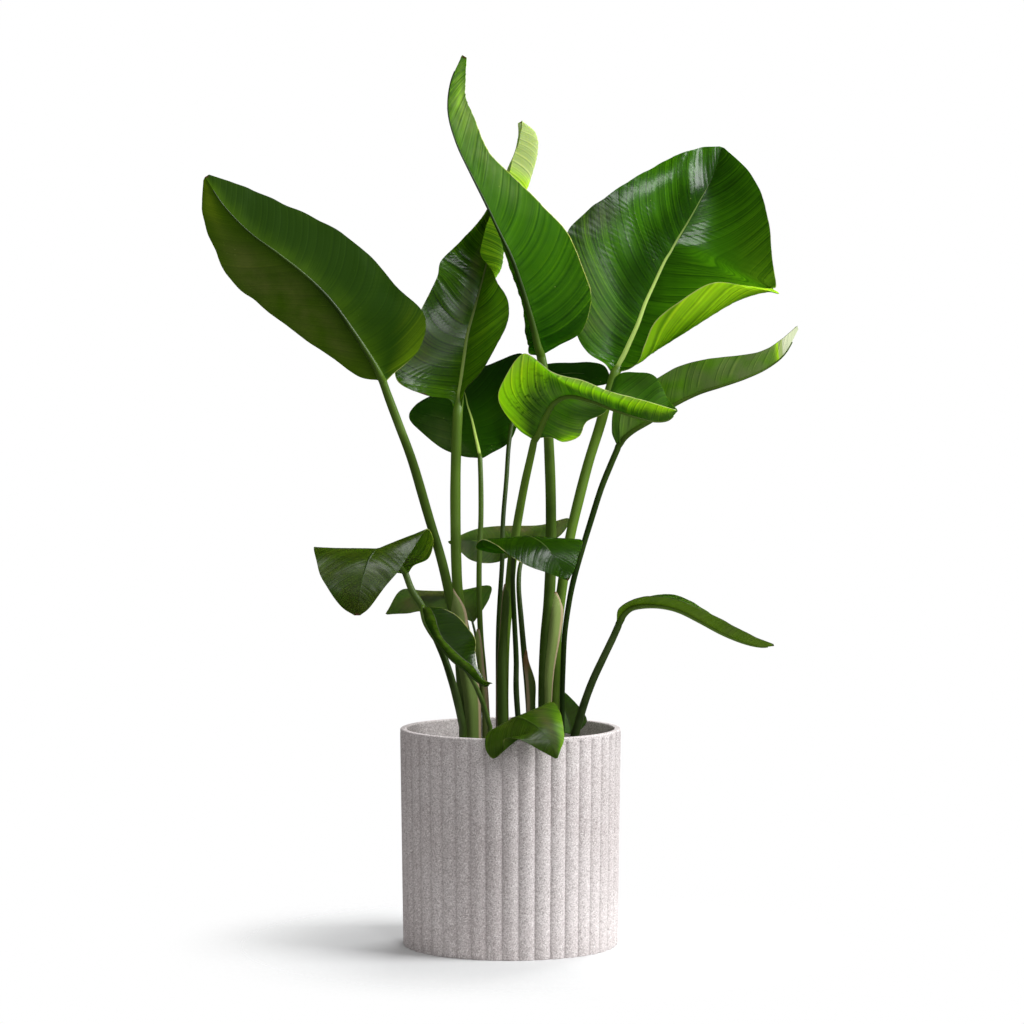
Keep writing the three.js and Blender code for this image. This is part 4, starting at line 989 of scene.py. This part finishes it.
def half_width(section, side):
    """Length of the left (0) or right (1) half of a cross-section, from the midrib to the margin"""
    middle, margin = (3, 4) if side else (1, 0)
    return (section[middle] - section[2]).length + (section[margin] - section[middle]).length


def sum_of_spots(spots_list, along, across):
    """How strongly a place on a blade lies inside the given soft ellipses"""
    total = 0.0
    for u, v, reach_u, reach_v, strength in spots_list:
        distance = ((along - u) / reach_u) ** 2 + ((across - v) / reach_v) ** 2
        total += strength * math.exp(-1.5 * distance)
    return total


def seed_of(name):
    """A number that gives each leaf a course of its own"""
    return sum(ord(letter) for letter in name)


def ripple(place, seed, layer):
    """Smooth noise along one number, with its own course for each seed and layer"""
    return noise.noise(Vector((place, seed, layer)))


def rib_radius(leaf, looks, share):
    """Radius of the midrib at a share of the blade's length"""
    return (RIB_TIP_MM + (leaf["radii"][1] - RIB_TIP_MM) * (1 - share) ** looks["slim"]) * MM


# Meshes

def grid_mesh(along_steps, across_steps):
    """A flat grid with all the maps and marks of a leaf, and its vertices as rows along and columns across"""
    bm = bmesh.new()
    for name in ("vein", "span"):
        bm.loops.layers.uv.new(name)
    for name in MARKS:
        bm.verts.layers.float.new(name)
    bmesh.ops.create_grid(bm, x_segments=along_steps, y_segments=across_steps, size=1.0)
    ordered = sorted(bm.verts, key=lambda vert: (round(vert.co.x, 6), round(vert.co.y, 6)))
    columns = across_steps + 1
    return bm, [ordered[i:i + columns] for i in range(0, len(ordered), columns)]


def to_object(bm, name, materials):
    """The object of a finished mesh, with its material slots"""
    mesh = bpy.data.meshes.new(name)
    bm.to_mesh(mesh)
    bm.free()
    for material in materials:
        mesh.materials.append(material)
    piece = bpy.data.objects.new(name, mesh)
    bpy.context.scene.collection.objects.link(piece)
    return piece


def join(pieces):
    """One object of several with the same materials; the first one stays"""
    bpy.context.view_layer.update()
    with bpy.context.temp_override(active_object=pieces[0], object=pieces[0],
                                   selected_objects=pieces, selected_editable_objects=pieces):
        bpy.ops.object.join()
    return pieces[0]


def smooth(piece, angle_deg):
    """Smooth shading, but for edges that are sharper than the angle"""
    for polygon in piece.data.polygons:
        polygon.use_smooth = True
    piece.data.set_sharp_from_angle(angle=math.radians(angle_deg))


def thicken(piece, thickness, under=0, rim=0):
    """Gives a sheet its thickness, half to each side. under and rim are how many slots further on the
    materials of the back and the rim stand."""
    plate = piece.modifiers.new("plate", "SOLIDIFY")
    plate.thickness = thickness
    plate.offset = 0.0
    plate.material_offset = under
    plate.material_offset_rim = rim
    evaluated = piece.evaluated_get(bpy.context.evaluated_depsgraph_get())
    mesh = bpy.data.meshes.new_from_object(evaluated)
    sheet = piece.data
    piece.modifiers.clear()
    piece.data = mesh
    bpy.data.meshes.remove(sheet)
    smooth(piece, 60)
    return piece


def write_layers(bm, rows, grids):
    """Stores UV maps and marks. Each is given as rows of values, one value for each vertex."""
    where = {vert: (i, j) for i, row in enumerate(rows) for j, vert in enumerate(row)}
    for name, values in grids.items():
        if name in MARKS:
            layer = bm.verts.layers.float[name]
            for vert, (i, j) in where.items():
                vert[layer] = values[i][j]
        else:
            layer = bm.loops.layers.uv[name]
            for loop in (loop for face in bm.faces for loop in face.loops):
                i, j = where[loop.vert]
                loop[layer].uv = values[i][j]


def paint(bm, slot_number):
    """Gives every face the material of a slot"""
    for face in bm.faces:
        face.material_index = slot_number


# Parts of a leaf

def column_distances(width, radius):
    """Distances from the midrib of one half's columns: close over the rib and at the margin"""
    if width < 3 * radius + 2 * MARGIN_COLUMN:
        return [width * i / HALF_COLUMNS for i in range(HALF_COLUMNS + 1)]
    near = [0.0, 0.4 * radius, 0.8 * radius, 1.2 * radius]
    steps = HALF_COLUMNS - len(near)
    far = [near[-1] + (width - MARGIN_COLUMN - near[-1]) * i / steps for i in range(1, steps + 1)]
    return near + far + [width]


def even_width(widths, share):
    """Width of a half near a share of the length, evened out over a fifth of it"""
    near = [curve_point(widths, share + 0.1 * k / 4) for k in range(-4, 5)]
    return sum(near) / len(near)


def vein_place(travelled, across, width, share):
    """Where along the midrib the side vein through a place starts. It leaves nearly square near the
    blade's foot and more and more aslant toward the tip, and bends toward the tip."""
    return travelled - ((0.25 + 0.45 * share) * across + 0.2 * across * across) * width


def vein_phase(place, spacing, seed, side):
    """Numbers the side veins along the blade, unevenly spaced"""
    even = place / spacing
    return 40.0 + 60.0 * side + even + 0.55 * ripple(even * 0.55, seed, 5.0 * side)


def crease(phase, seed):
    """Height of the blade between its creases, from 0 in a crease to about 1"""
    middle = 1 - abs((phase % 1.0) * 2 - 1)
    strength = 0.35 + 0.65 * abs(ripple(round(phase) * 0.77, seed, 2.0)) * 2
    return (1 - (1 - min(1.0, middle * 2.2)) ** 2) * strength


def swelling(phase, seed, pucker):
    """How far the blade swells out between its side veins"""
    swell = 0.55 * MM * crease(phase, seed) * pucker
    swell += ripple(phase * 0.31, seed, 4.0) * 1.3 * MM
    return swell + ripple(phase * 2.3, seed, 3.0) * 0.15 * MM * pucker


def ruffle(place, seed, side):
    """How far the margin stands up or down"""
    return ripple(place * 24, seed, 7.0 + side) * 2.4 * MM + ripple(place * 75, seed, 9.0 + side) * 0.7 * MM


def blade_marks(looks, share, across):
    """The marks of a place on a blade"""
    def found(key):
        return sum_of_spots(looks[key], share, across)

    # tone carries the painted shade of the shade spots, glow the painted light shining through, bloom the
    # painted sheen with the waxy film
    return {"tone": looks["tone"] - found("shade"), "stripe": looks["stripe"] * max(0.0, 1 - found("calm")),
            "bloom_and_sheen": looks["bloom_and_sheen"] + found("film_and_sheen"), "warm": looks["warm"], "painted_glow_and_crest": found("painted_glow_and_crest"),
            "fleck": found("fleck"), "pale": found("pale"), "dry": found("dry")}


def blade_grids(name, leaf, looks, steps, columns, length):
    """Rows of the blade's places, of their lift off the smooth shape, and of what its materials read"""
    seed = seed_of(name)
    size = min(1.0, length / FULL_LENGTH)
    widths = [[half_width(section, side) for section in zip(*columns)] for side in (0, 1)]
    grids = {key: [] for key in ("place", "lift", "vein", "span") + MARKS}
    travelled = 0.0
    before = columns[2][0]
    for i in range(steps + 1):
        share = i / steps
        section = cross_section(columns, share)
        travelled += (section[2] - before).length
        before = section[2]
        ends = min(1.0, share / 0.06) * min(1.0, (1 - share) / 0.08)
        half_widths = [half_width(section, side) for side in (0, 1)]
        distances = [column_distances(width, rib_radius(leaf, looks, share)) for width in half_widths]
        for grid in grids.values():
            grid.append([])
        for j in range(-HALF_COLUMNS, HALF_COLUMNS + 1):
            side = 0 if j < 0 else 1
            distance = distances[side][abs(j)]
            across = math.copysign(distance / max(half_widths[side], 1e-6), j)
            edge = half_widths[side] - distance
            place = vein_place(travelled, abs(across), even_width(widths[side], share), share)
            phase = vein_phase(place, looks["veins"] * MM, seed, side)
            spread = min(1.0, max(0.0, distance - SMOOTH_MIDDLE) / SWELL_RISE) * ends
            curl = ruffle(place, seed, side) * (max(0.0, 1 - edge / RUFFLE_REACH) * ends)
            wave = looks["wavy"] * ripple(place * 32, seed, 11.0 + side)
            wave *= max(0.0, 1 - edge / WAVE_REACH) * ends
            cell = blade_marks(looks, share, across)
            cell["place"] = section_point(section, across * (1 + wave))
            cell["lift"] = (swelling(phase, seed, looks["pucker"]) * spread + curl) * size
            cell["vein"] = (phase, across * 0.5 + 0.5)
            cell["span"] = (distance, edge)
            for key, value in cell.items():
                grids[key][-1].append(value)
    return grids


def way_up(places, i, j):
    """The way that lies square to a grid of places, along x across"""
    last_row, last_column = len(places) - 1, len(places[0]) - 1
    along = places[min(i + 1, last_row)][j] - places[max(i - 1, 0)][j]
    across_way = places[i][min(j + 1, last_column)] - places[i][max(j - 1, 0)]
    return along.cross(across_way).normalized()


def blade_piece(name, leaf, looks, materials):
    """The blade: a curved plate with creases along its side veins, swellings between them and wavy margins"""
    columns = lengthwise(leaf["blade"])
    length = sum((b - a).length for a, b in zip(columns[2], columns[2][1:]))
    steps = max(LEAST_ROWS, round(length / ROW_SPACING))
    bm, rows = grid_mesh(steps, 2 * HALF_COLUMNS)
    grids = blade_grids(name, leaf, looks, steps, columns, length)
    places, lifts = grids.pop("place"), grids.pop("lift")
    for i, row in enumerate(rows):
        for j, vert in enumerate(row):
            vert.co = places[i][j] + way_up(places, i, j) * (lifts[i][j] * leaf["upper"])
    write_layers(bm, rows, grids)
    bm.normal_update()
    i, j = steps // 2, HALF_COLUMNS // 2
    if rows[i][j].link_faces[0].normal.dot(way_up(places, i, j) * leaf["upper"]) < 0:
        bmesh.ops.reverse_faces(bm, faces=bm.faces)
    return thicken(to_object(bm, name, materials), BLADE_THICKNESS, UNDER, MARGIN)


def tube_piece(name, rings, materials):
    """A closed round stalk through the rings, with its ends filled"""
    bm, rows = grid_mesh(len(rings) - 1, STALK_SIDES)
    points = [ring.point for ring in rings]
    side = Vector((1.0, 0.0, 0.0))
    travelled = 0.0
    grids = {key: [] for key in ("vein", "tone", "dry", "bloom_and_sheen", "painted_glow_and_crest")}
    for i, (row, ring) in enumerate(zip(rows, rings)):
        way = (points[min(i + 1, len(points) - 1)] - points[max(i - 1, 0)]).normalized()
        side = (side - way * side.dot(way)).normalized()
        up = way.cross(side)
        travelled += (points[i] - points[max(i - 1, 0)]).length
        angles = [2 * math.pi * j / STALK_SIDES for j in range(STALK_SIDES + 1)]
        outs = [side * math.cos(angle) + up * math.sin(angle) for angle in angles]
        for vert, out in zip(row, outs):
            vert.co = ring.point + out * ring.radius
        grids["vein"].append([(travelled, j / STALK_SIDES) for j in range(STALK_SIDES + 1)])
        grids["painted_glow_and_crest"].append([max(0.0, out.dot(ring.upper)) for out in outs])
        for key in ("tone", "dry", "bloom_and_sheen"):
            grids[key].append([getattr(ring, key)] * len(row))
    write_layers(bm, rows, grids)
    bmesh.ops.remove_doubles(bm, verts=bm.verts, dist=1e-6)
    bmesh.ops.holes_fill(bm, edges=[edge for edge in bm.edges if edge.is_boundary], sides=0)
    paint(bm, STALK)
    bmesh.ops.recalc_face_normals(bm, faces=bm.faces)
    piece = to_object(bm, name, materials)
    smooth(piece, 70)
    return piece


def stalk_rings(name, leaf, looks):
    """Rings of the stalk, from its foot in the soil to the blade"""
    stalk = [put(point) for point in leaf["stalk"]]
    base, top = leaf["radii"]
    rings = [Ring(Vector((stalk[0].x, stalk[0].y, height)), base * MM, 0.4, dry)
             for height, dry in ((STALK_FOOT, 0.5), (SOIL_ENTRY, 0.35))]
    for i in range(STALK_RINGS):
        share = i / STALK_RINGS
        swell = 1 + 0.05 * ripple(share * 9, seed_of(name), 1.0)
        rings.append(Ring(curve_point(stalk, share), (base + (top - base) * share) * MM * swell,
                          looks["stalk"] - 0.12 + 0.27 * share, max(0.0, 0.3 - share * 3.0)))
    return rings


def midrib_rings(leaf, looks):
    """Rings of the midrib, which stands out below the blade and fades before its tip"""
    columns = lengthwise(leaf["blade"])
    rings = []
    for i in range(RIB_RINGS + 1):
        share = RIB_REACH * i / RIB_RINGS
        section = cross_section(columns, share)
        ahead = curve_point(columns[2], share + 0.01) - curve_point(columns[2], share - 0.01)
        below = ahead.cross(section[3] - section[1]).normalized() * -leaf["upper"]
        radius = rib_radius(leaf, looks, share)
        sink = radius * (0.6 + 0.3 * max(0.0, share - 0.6)) * min(1.0, share / 0.06)
        tone = looks["rib"] + (looks["stalk"] + 0.15 - looks["rib"]) * max(0.0, 1 - share / 0.45)
        crest = -min(1.0, share / 0.1) * max(0.0, 1.25 - 1.1 * share) * looks["crest"]
        rings.append(Ring(section[2] + below * sink, radius, tone, 0.0, 0.1, below * crest))
    return rings


def sheath_piece(name, points, look, materials):
    """The thin sheath at the foot of a stalk, which clasps the next stalk. Its first row is its tip."""
    columns = lengthwise(points)
    free, tone, dried = look
    bm, rows = grid_mesh(SHEATH_ROWS, SHEATH_COLUMNS)
    grids = {key: [] for key in ("vein", "tone", "pale", "dry")}
    for i, row in enumerate(rows):
        share = i / (len(rows) - 1)
        left, _, middle, _, right = cross_section(columns, share)
        width = (right - left).length
        for grid in grids.values():
            grid.append([])
        for j, vert in enumerate(row):
            across = j / (len(row) - 1)
            vert.co = arch_point(left, middle, right, across)
            vert.co.z -= SHEATH_DROP * max(0.0, 10 * share - 9)
            from_hem = (across if free < 0 else 1 - across) * width
            grids["vein"][i].append((share * 0.15, across))
            grids["tone"][i].append(tone * (1 - 0.5 * share))
            grids["pale"][i].append(math.exp(-(from_hem / HEM_WIDTH) ** 2))
            grids["dry"][i].append(dried * max(0.0, 1 - 1.4 * share) + 0.6 * max(0.0, 1 - share / 0.08))
    write_layers(bm, rows, grids)
    paint(bm, SHEATH)
    return thicken(to_object(bm, name, materials), SHEATH_THICKNESS)


# Round bodies

def revolved(name, profile, sides, materials, groove=None):
    """A body of round sections spun from (radius, height, share of the groove) rings, with its first
    and last rings on the axis. groove gives how far a place round the body stands back, in metres."""
    bm = bmesh.new()
    ring_share = bm.verts.layers.float.new("ring_share")
    hollow = bm.verts.layers.float.new("hollow")
    verts = []
    for radius, height, share in profile:
        vert = bm.verts.new((radius, 0.0, height))
        vert[ring_share] = share
        verts.append(vert)
    edges = [bm.edges.new(pair) for pair in zip(verts, verts[1:])]
    bmesh.ops.spin(bm, geom=verts + edges, cent=(0.0, 0.0, 0.0), axis=(0.0, 0.0, 1.0), angle=2 * math.pi,
                   steps=sides, use_merge=True)
    bmesh.ops.remove_doubles(bm, verts=bm.verts, dist=1e-6)
    for vert in (vert for vert in bm.verts if groove and vert[ring_share] > 0.0):
        reach = math.hypot(vert.co.x, vert.co.y)
        back = groove(math.atan2(vert.co.y, vert.co.x) / (2 * math.pi)) * vert[ring_share]
        vert[hollow] = back / MM
        vert.co.xy *= (reach - back) / reach
    bmesh.ops.recalc_face_normals(bm, faces=bm.faces)
    piece = to_object(bm, name, materials)
    smooth(piece, 35)
    return piece


def rounded(centre_radius, centre_height, reach, start_deg, end_deg, steps=5):
    """Rings of a round corner about a centre, without grooves"""
    rings = []
    for i in range(steps + 1):
        angle = math.radians(start_deg + (end_deg - start_deg) * i / steps)
        rings.append((centre_radius + math.cos(angle) * reach, centre_height + math.sin(angle) * reach, 0.0))
    return rings


def plain(*rings):
    """Rings without grooves from (radius, height) pairs"""
    return [(radius, height, 0.0) for radius, height in rings]


def settle(piece, node):
    """Ties a piece to the frame's root and hides the node of the frame that it dresses"""
    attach(piece, "root")
    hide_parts(node)


# Settings

def length_setting(label, description, default):
    return FloatProperty(name=label, description=description, default=default, unit="LENGTH")


def power_setting(label, description, default):
    return FloatProperty(name=label, description=description, default=default, unit="POWER")


def count_setting(label, description, default):
    return IntProperty(name=label, description=description, default=default, min=1)


def colour_setting(label, description, default):
    return FloatVectorProperty(name=label, description=description, size=4, subtype="COLOR",
                               default=colour(*default))


class PlanterSettings(bpy.types.PropertyGroup):
    """Sizes and colours of the planter"""
    height: length_setting("Height", "Height of the planter", 0.264)
    rim_radius: length_setting("Rim radius", "Outer radius at the top of the ribs", 0.1345)
    foot_radius: length_setting("Foot radius", "Outer radius at the foot", 0.131)
    wall: length_setting("Wall", "Thickness of the wall", 0.0085)
    base: length_setting("Floor", "Thickness of the floor", 0.012)
    lip: length_setting("Lip", "Height of the plain lip above the ribs", 0.0042)
    roll: length_setting("Lip rounding", "Radius of the lip's rounded edges", 0.0021)
    rib_count: count_setting("Ribs", "Number of upright ribs", 42)
    rib_depth: length_setting("Rib depth", "Depth of the grooves", 0.0026)
    notch: length_setting("Groove line", "Width of the sharp line in each groove", 0.0012)
    stone_light: colour_setting("Light stone", "Lighter tone of the stone", (0.66, 0.605, 0.6))
    stone_dark: colour_setting("Dark stone", "Darker tone of the stone", (0.565, 0.505, 0.5))
    grain_light: colour_setting("Light grains", "Colour of the lightest grains", (0.95, 0.91, 0.89))
    grain_dark: colour_setting("Dark grains", "Colour of the darkest grains", (0.2, 0.165, 0.155))
    # Painted shade in the grooves, as a darker tint
    painted_groove_shade: colour_setting("Grooves", "Colour of the dust in the grooves", (0.33, 0.3, 0.3))
    speck_tint: colour_setting("Specks", "Colour of the fine beige specks", (0.28, 0.205, 0.165))


class SoilSettings(bpy.types.PropertyGroup):
    """Sizes of the nursery pot and the soil"""
    pot_foot: length_setting("Pot foot", "Height of the nursery pot's underside", 0.0123)
    pot_top: length_setting("Pot top", "Height of the nursery pot's rim", 0.236)
    pot_radius: length_setting("Pot radius", "Radius of the nursery pot's rim", 0.122)
    pot_foot_radius: length_setting("Pot foot radius", "Radius of the nursery pot's foot", 0.104)
    pot_wall: length_setting("Pot wall", "Thickness of the nursery pot's wall", 0.0016)
    collar: length_setting("Collar", "Height of the nursery pot's collar", 0.013)
    soil_foot: length_setting("Soil foot", "Height of the soil's underside", 0.0145)
    soil_top: length_setting("Soil height", "Height of the soil's surface", 0.226)
    crown: length_setting("Soil crown", "How much higher the soil stands in the middle", 0.003)
    chips: count_setting("Bark chips", "Number of bark chips on the soil", 260)
    grains: count_setting("Perlite grains", "Number of perlite grains on the soil", 90)


class StageSettings(bpy.types.PropertyGroup):
    """Light and floor of the studio"""
    floor_radius: length_setting("Floor radius", "Radius of the floor", 1.2)
    floor_colour: colour_setting("Floor", "Colour of the floor", (0.7, 0.7, 0.7))
    key_power: power_setting("Key light", "Power of the large light on the right", 150.0)
    back_power: power_setting("Back light", "Power of the light behind the plant", 105.0)
    window_power: power_setting("Window light", "Power of the small light in front", 20.0)
    panel_power: power_setting("Panel light", "Power of the low panel in front", 6.5)


# Steps of the scene

class BIRD_OT_planter(bpy.types.Operator):
    """Makes the ribbed planter"""
    bl_idname = "bird.planter"
    bl_label = "Planter"

    def execute(self, context):
        size = context.scene.bird_planter
        rib_width = 2 * math.pi * size.rim_radius / size.rib_count

        def groove(turn):
            off_middle = abs((turn * size.rib_count) % 1.0 * 2 - 1)
            to_groove = (1 - off_middle) * rib_width / 2
            return size.rib_depth * (0.88 * off_middle ** 2 + 0.12 * math.exp(-(to_groove / size.notch) ** 2))

        foot, rim, roll = size.foot_radius, size.rim_radius, size.roll
        under_lip = size.height - size.lip
        lip = rim - 0.2 * MM
        mouth = rim - size.wall
        profile = plain((0.0, 0.0), (foot * 0.5, 0.0), (foot - 3.5 * MM, 0.0))
        profile += [(foot - 0.5 * MM, 0.2 * MM, 1.0)]
        ribs_start, ribs_end, ring_steps = 1.2 * MM, under_lip - 3.0 * MM, 8
        for i in range(ring_steps + 1):
            share = i / ring_steps
            profile += [(foot + (rim - foot) * share, ribs_start + (ribs_end - ribs_start) * share, 1.0)]
        profile += [(rim, under_lip - 1.7 * MM, 0.8), (rim, under_lip - 0.7 * MM, 0.4)]
        profile += plain((lip - 0.2 * MM, under_lip))
        for centre_radius, start_deg in ((lip - roll, 0), (mouth + roll, 90)):
            profile += rounded(centre_radius, size.height - roll, roll, start_deg, start_deg + 90, 7)
        profile += plain((mouth - 0.5 * MM, size.height * 0.6), (foot - size.wall - 2 * MM, size.base),
                         (0.0, size.base))
        sides = size.rib_count * COLUMNS_PER_RIB
        piece = revolved("ribbed_planter", profile, sides, [stone_material(size)], groove)
        settle(piece, "planter")
        return {"FINISHED"}


class BIRD_OT_grow_pot(bpy.types.Operator):
    """Makes the thin nursery pot that stands in the planter"""
    bl_idname = "bird.grow_pot"
    bl_label = "Nursery pot"

    def execute(self, context):
        size = context.scene.bird_soil
        foot, foot_radius, wall, rim = size.pot_foot, size.pot_foot_radius, size.pot_wall, size.pot_radius
        step = size.pot_top - size.collar
        roll = wall / 2
        profile = plain((0.0, foot), (foot_radius - 2 * MM, foot), (foot_radius, foot + 2 * MM),
                        (rim - 2.6 * MM, step - MM), (rim - 0.6 * MM, step), (rim, step + MM))
        profile += rounded(rim - roll, size.pot_top - roll, roll, 0, 180)
        profile += plain((rim - wall, step + MM), (rim - wall - 2.2 * MM, step - MM),
                         (foot_radius - wall, foot + wall), (0.0, foot + wall))
        piece = revolved("nursery_pot", profile, POT_SIDES, [nursery_plastic_material()])
        settle(piece, "grow_pot")
        return {"FINISHED"}


class BIRD_OT_soil(bpy.types.Operator):
    """Makes the crumbly soil with bark chips and perlite grains"""
    bl_idname = "bird.soil"
    bl_label = "Soil"

    def execute(self, context):
        size = context.scene.bird_soil
        random.seed(7)
        top_radius = size.pot_radius - 4.5 * MM
        profile = plain((0.0, size.soil_foot), (size.pot_foot_radius - 2.4 * MM, size.soil_foot),
                        (top_radius, size.soil_top - 6 * MM))
        shares = [1 - i / SOIL_RINGS for i in range(SOIL_RINGS + 1)]
        profile += plain(*((top_radius * share, size.soil_top) for share in shares))
        materials = [soil_material(), bark_material(), perlite_material()]
        piece = revolved("potting_soil", profile, SOIL_SIDES, materials)
        for vert in (vert for vert in piece.data.vertices if vert.co.z > size.soil_top - 3 * MM):
            spot = Vector((vert.co.x, vert.co.y, 0.0))
            crumbs = noise.noise(spot * 90) * 1.6 * MM + noise.noise(spot * 260) * 1.1 * MM
            heap = size.crown * (1 - (spot.length / top_radius) ** 2) + noise.noise(spot * 22) * 2 * MM
            vert.co.z += crumbs + heap - 0.5 * MM
        smooth(piece, 80)
        chips = self.bits(size, top_radius, size.chips, (2.2 * MM, 5.5 * MM), 0.35, materials, BARK)
        grains = self.bits(size, top_radius, size.grains, (1.0 * MM, 2.2 * MM), 0.8, materials, PERLITE)
        settle(join([piece, chips, grains]), "soil")
        return {"FINISHED"}

    def bits(self, size, top_radius, number, radii, flatness, materials, slot_number):
        """Small loose lumps that lie half in the soil, clear of the stalks"""
        stalks = [(put(leaf["stalk"][0]), leaf["radii"][0] * MM) for leaf in LEAVES.values()]
        bm = bmesh.new()
        placed = 0
        while placed < number:
            angle, reach = random.uniform(0, 2 * math.pi), top_radius * 0.94 * math.sqrt(random.random())
            x, y = math.cos(angle) * reach, math.sin(angle) * reach
            width = random.uniform(*radii)
            if any(math.hypot(x - foot.x, y - foot.y) < radius + width * 1.6 for foot, radius in stalks):
                continue
            made = bmesh.ops.create_icosphere(bm, subdivisions=1, radius=width)["verts"]
            turn, stretch = random.uniform(0, math.pi), random.uniform(0.9, 1.9)
            lift = size.soil_top + size.crown * (1 - (reach / top_radius) ** 2)
            for vert in made:
                jitter = 1 + random.uniform(-0.25, 0.25)
                along, aside = vert.co.x * stretch * jitter, vert.co.y * jitter / stretch ** 0.5
                vert.co = Vector((x + along * math.cos(turn) - aside * math.sin(turn),
                                  y + along * math.sin(turn) + aside * math.cos(turn),
                                  lift + vert.co.z * flatness))
            placed += 1
        paint(bm, slot_number)
        return to_object(bm, "bits", materials)


class BIRD_OT_leaves(bpy.types.Operator):
    """Makes the leaves, each with its stalk, midrib, blade and sheath"""
    bl_idname = "bird.leaves"
    bl_label = "Leaves"

    def execute(self, context):
        upper = upper_material()
        unders = {0.8: under_material("leaf_under", 0.8), 0.0: under_material("leaf_under_thick", 0.0)}
        others = [margin_material(), stalk_material(), sheath_material()]
        for name, leaf in LEAVES.items():
            looks = PLAIN_LOOKS | LOOKS[name]
            materials = [upper, unders[looks["through"]]] + others
            piece_name = "bird_leaf_" + name
            rings = stalk_rings(piece_name, leaf, looks) + midrib_rings(leaf, looks)
            parts = [blade_piece(piece_name, leaf, looks, materials),
                     tube_piece(piece_name + "_stalk", rings, materials)]
            if "sheath" in leaf:
                parts.append(sheath_piece(piece_name + "_sheath", leaf["sheath"], SHEATHS[name], materials))
            settle(join(parts), "leaf_" + name)
        return {"FINISHED"}


class BIRD_OT_stage(bpy.types.Operator):
    """Makes the floor, the studio light and the camera"""
    bl_idname = "bird.stage"
    bl_label = "Studio"

    def execute(self, context):
        settings = context.scene.bird_stage
        bm = bmesh.new()
        bmesh.ops.create_circle(bm, cap_ends=True, radius=settings.floor_radius, segments=96)
        floor = to_object(bm, "floor", [floor_material(settings)])
        self.light("key", KEY_LIGHT, settings.key_power)
        self.light("window", WINDOW_LIGHT, settings.window_power)
        self.light("panel", PANEL_LIGHT, settings.panel_power).visible_diffuse = False
        self.light("back", BACK_LIGHT, settings.back_power).visible_glossy = False
        self.sky(context)
        self.camera(context)
        context.scene.view_settings.view_transform = "Standard"
        return {"FINISHED"}

    def light(self, name, place_and_side, watts):
        place, side = place_and_side
        data = bpy.data.lights.new(name, "AREA")
        data.shape = "SQUARE"
        data.size = side
        data.energy = watts
        data.color = LIGHT_TINT
        lamp = bpy.data.objects.new(name, data)
        lamp.location = place
        lamp.rotation_euler = (LIT_POINT - Vector(place)).to_track_quat("-Z", "Y").to_euler()
        bpy.context.scene.collection.objects.link(lamp)
        return lamp

    def sky(self, context):
        """White to the camera, softer as light, and nearly dark in reflections, as in a dim studio"""
        surface = Surface("studio", world=True)
        context.scene.world = surface.holder

        def ground(strength):
            white = {"Color": colour(1.0, 1.0, 1.0), "Strength": strength}
            return surface.node("ShaderNodeBackground", values=white)

        mixed = ground(SKY_LIT)
        for ray, strength in (("Is Glossy Ray", SKY_MIRRORED), ("Is Camera Ray", SKY_SEEN)):
            share = surface.node("ShaderNodeLightPath", output=ray)
            mixed = surface.node("ShaderNodeMixShader", values={0: share, 1: mixed, 2: ground(strength)})
        surface.node("ShaderNodeOutputWorld", values={"Surface": mixed})

    def camera(self, context):
        data = bpy.data.cameras.new("front")
        data.lens = LENS_MM
        data.sensor_width = SENSOR_MM
        data.shift_x = FRAMING_SHIFT
        camera = bpy.data.objects.new("front", data)
        camera.location = EYE
        camera.rotation_euler = (TARGET - EYE).to_track_quat("-Z", "Y").to_euler()
        context.scene.collection.objects.link(camera)
        context.scene.camera = camera


class BIRD_PT_panel(bpy.types.Panel):
    """Lists the steps and their settings"""
    bl_idname = "BIRD_PT_panel"
    bl_label = "Bird of paradise"
    bl_space_type = "VIEW_3D"
    bl_region_type = "UI"
    bl_category = "Bird of paradise"

    def draw(self, context):
        layout = self.layout
        for group in (context.scene.bird_planter, context.scene.bird_soil, context.scene.bird_stage):
            box = layout.box()
            for key in group.__annotations__:
                box.prop(group, key)
        for operator in STEPS:
            layout.operator(operator.bl_idname)


STEPS = (BIRD_OT_stage, BIRD_OT_planter, BIRD_OT_grow_pot, BIRD_OT_soil, BIRD_OT_leaves)
CLASSES = (PlanterSettings, SoilSettings, StageSettings) + STEPS + (BIRD_PT_panel,)


def register():
    for cls in CLASSES:
        bpy.utils.register_class(cls)
    bpy.types.Scene.bird_planter = PointerProperty(type=PlanterSettings)
    bpy.types.Scene.bird_soil = PointerProperty(type=SoilSettings)
    bpy.types.Scene.bird_stage = PointerProperty(type=StageSettings)


def unregister():
    del bpy.types.Scene.bird_planter
    del bpy.types.Scene.bird_soil
    del bpy.types.Scene.bird_stage
    for cls in reversed(CLASSES):
        bpy.utils.unregister_class(cls)


def main():
    register()
    bpy.ops.bird.stage()
    bpy.ops.bird.planter()
    bpy.ops.bird.grow_pot()
    bpy.ops.bird.soil()
    bpy.ops.bird.leaves()


if __name__ == "__main__":
    main()
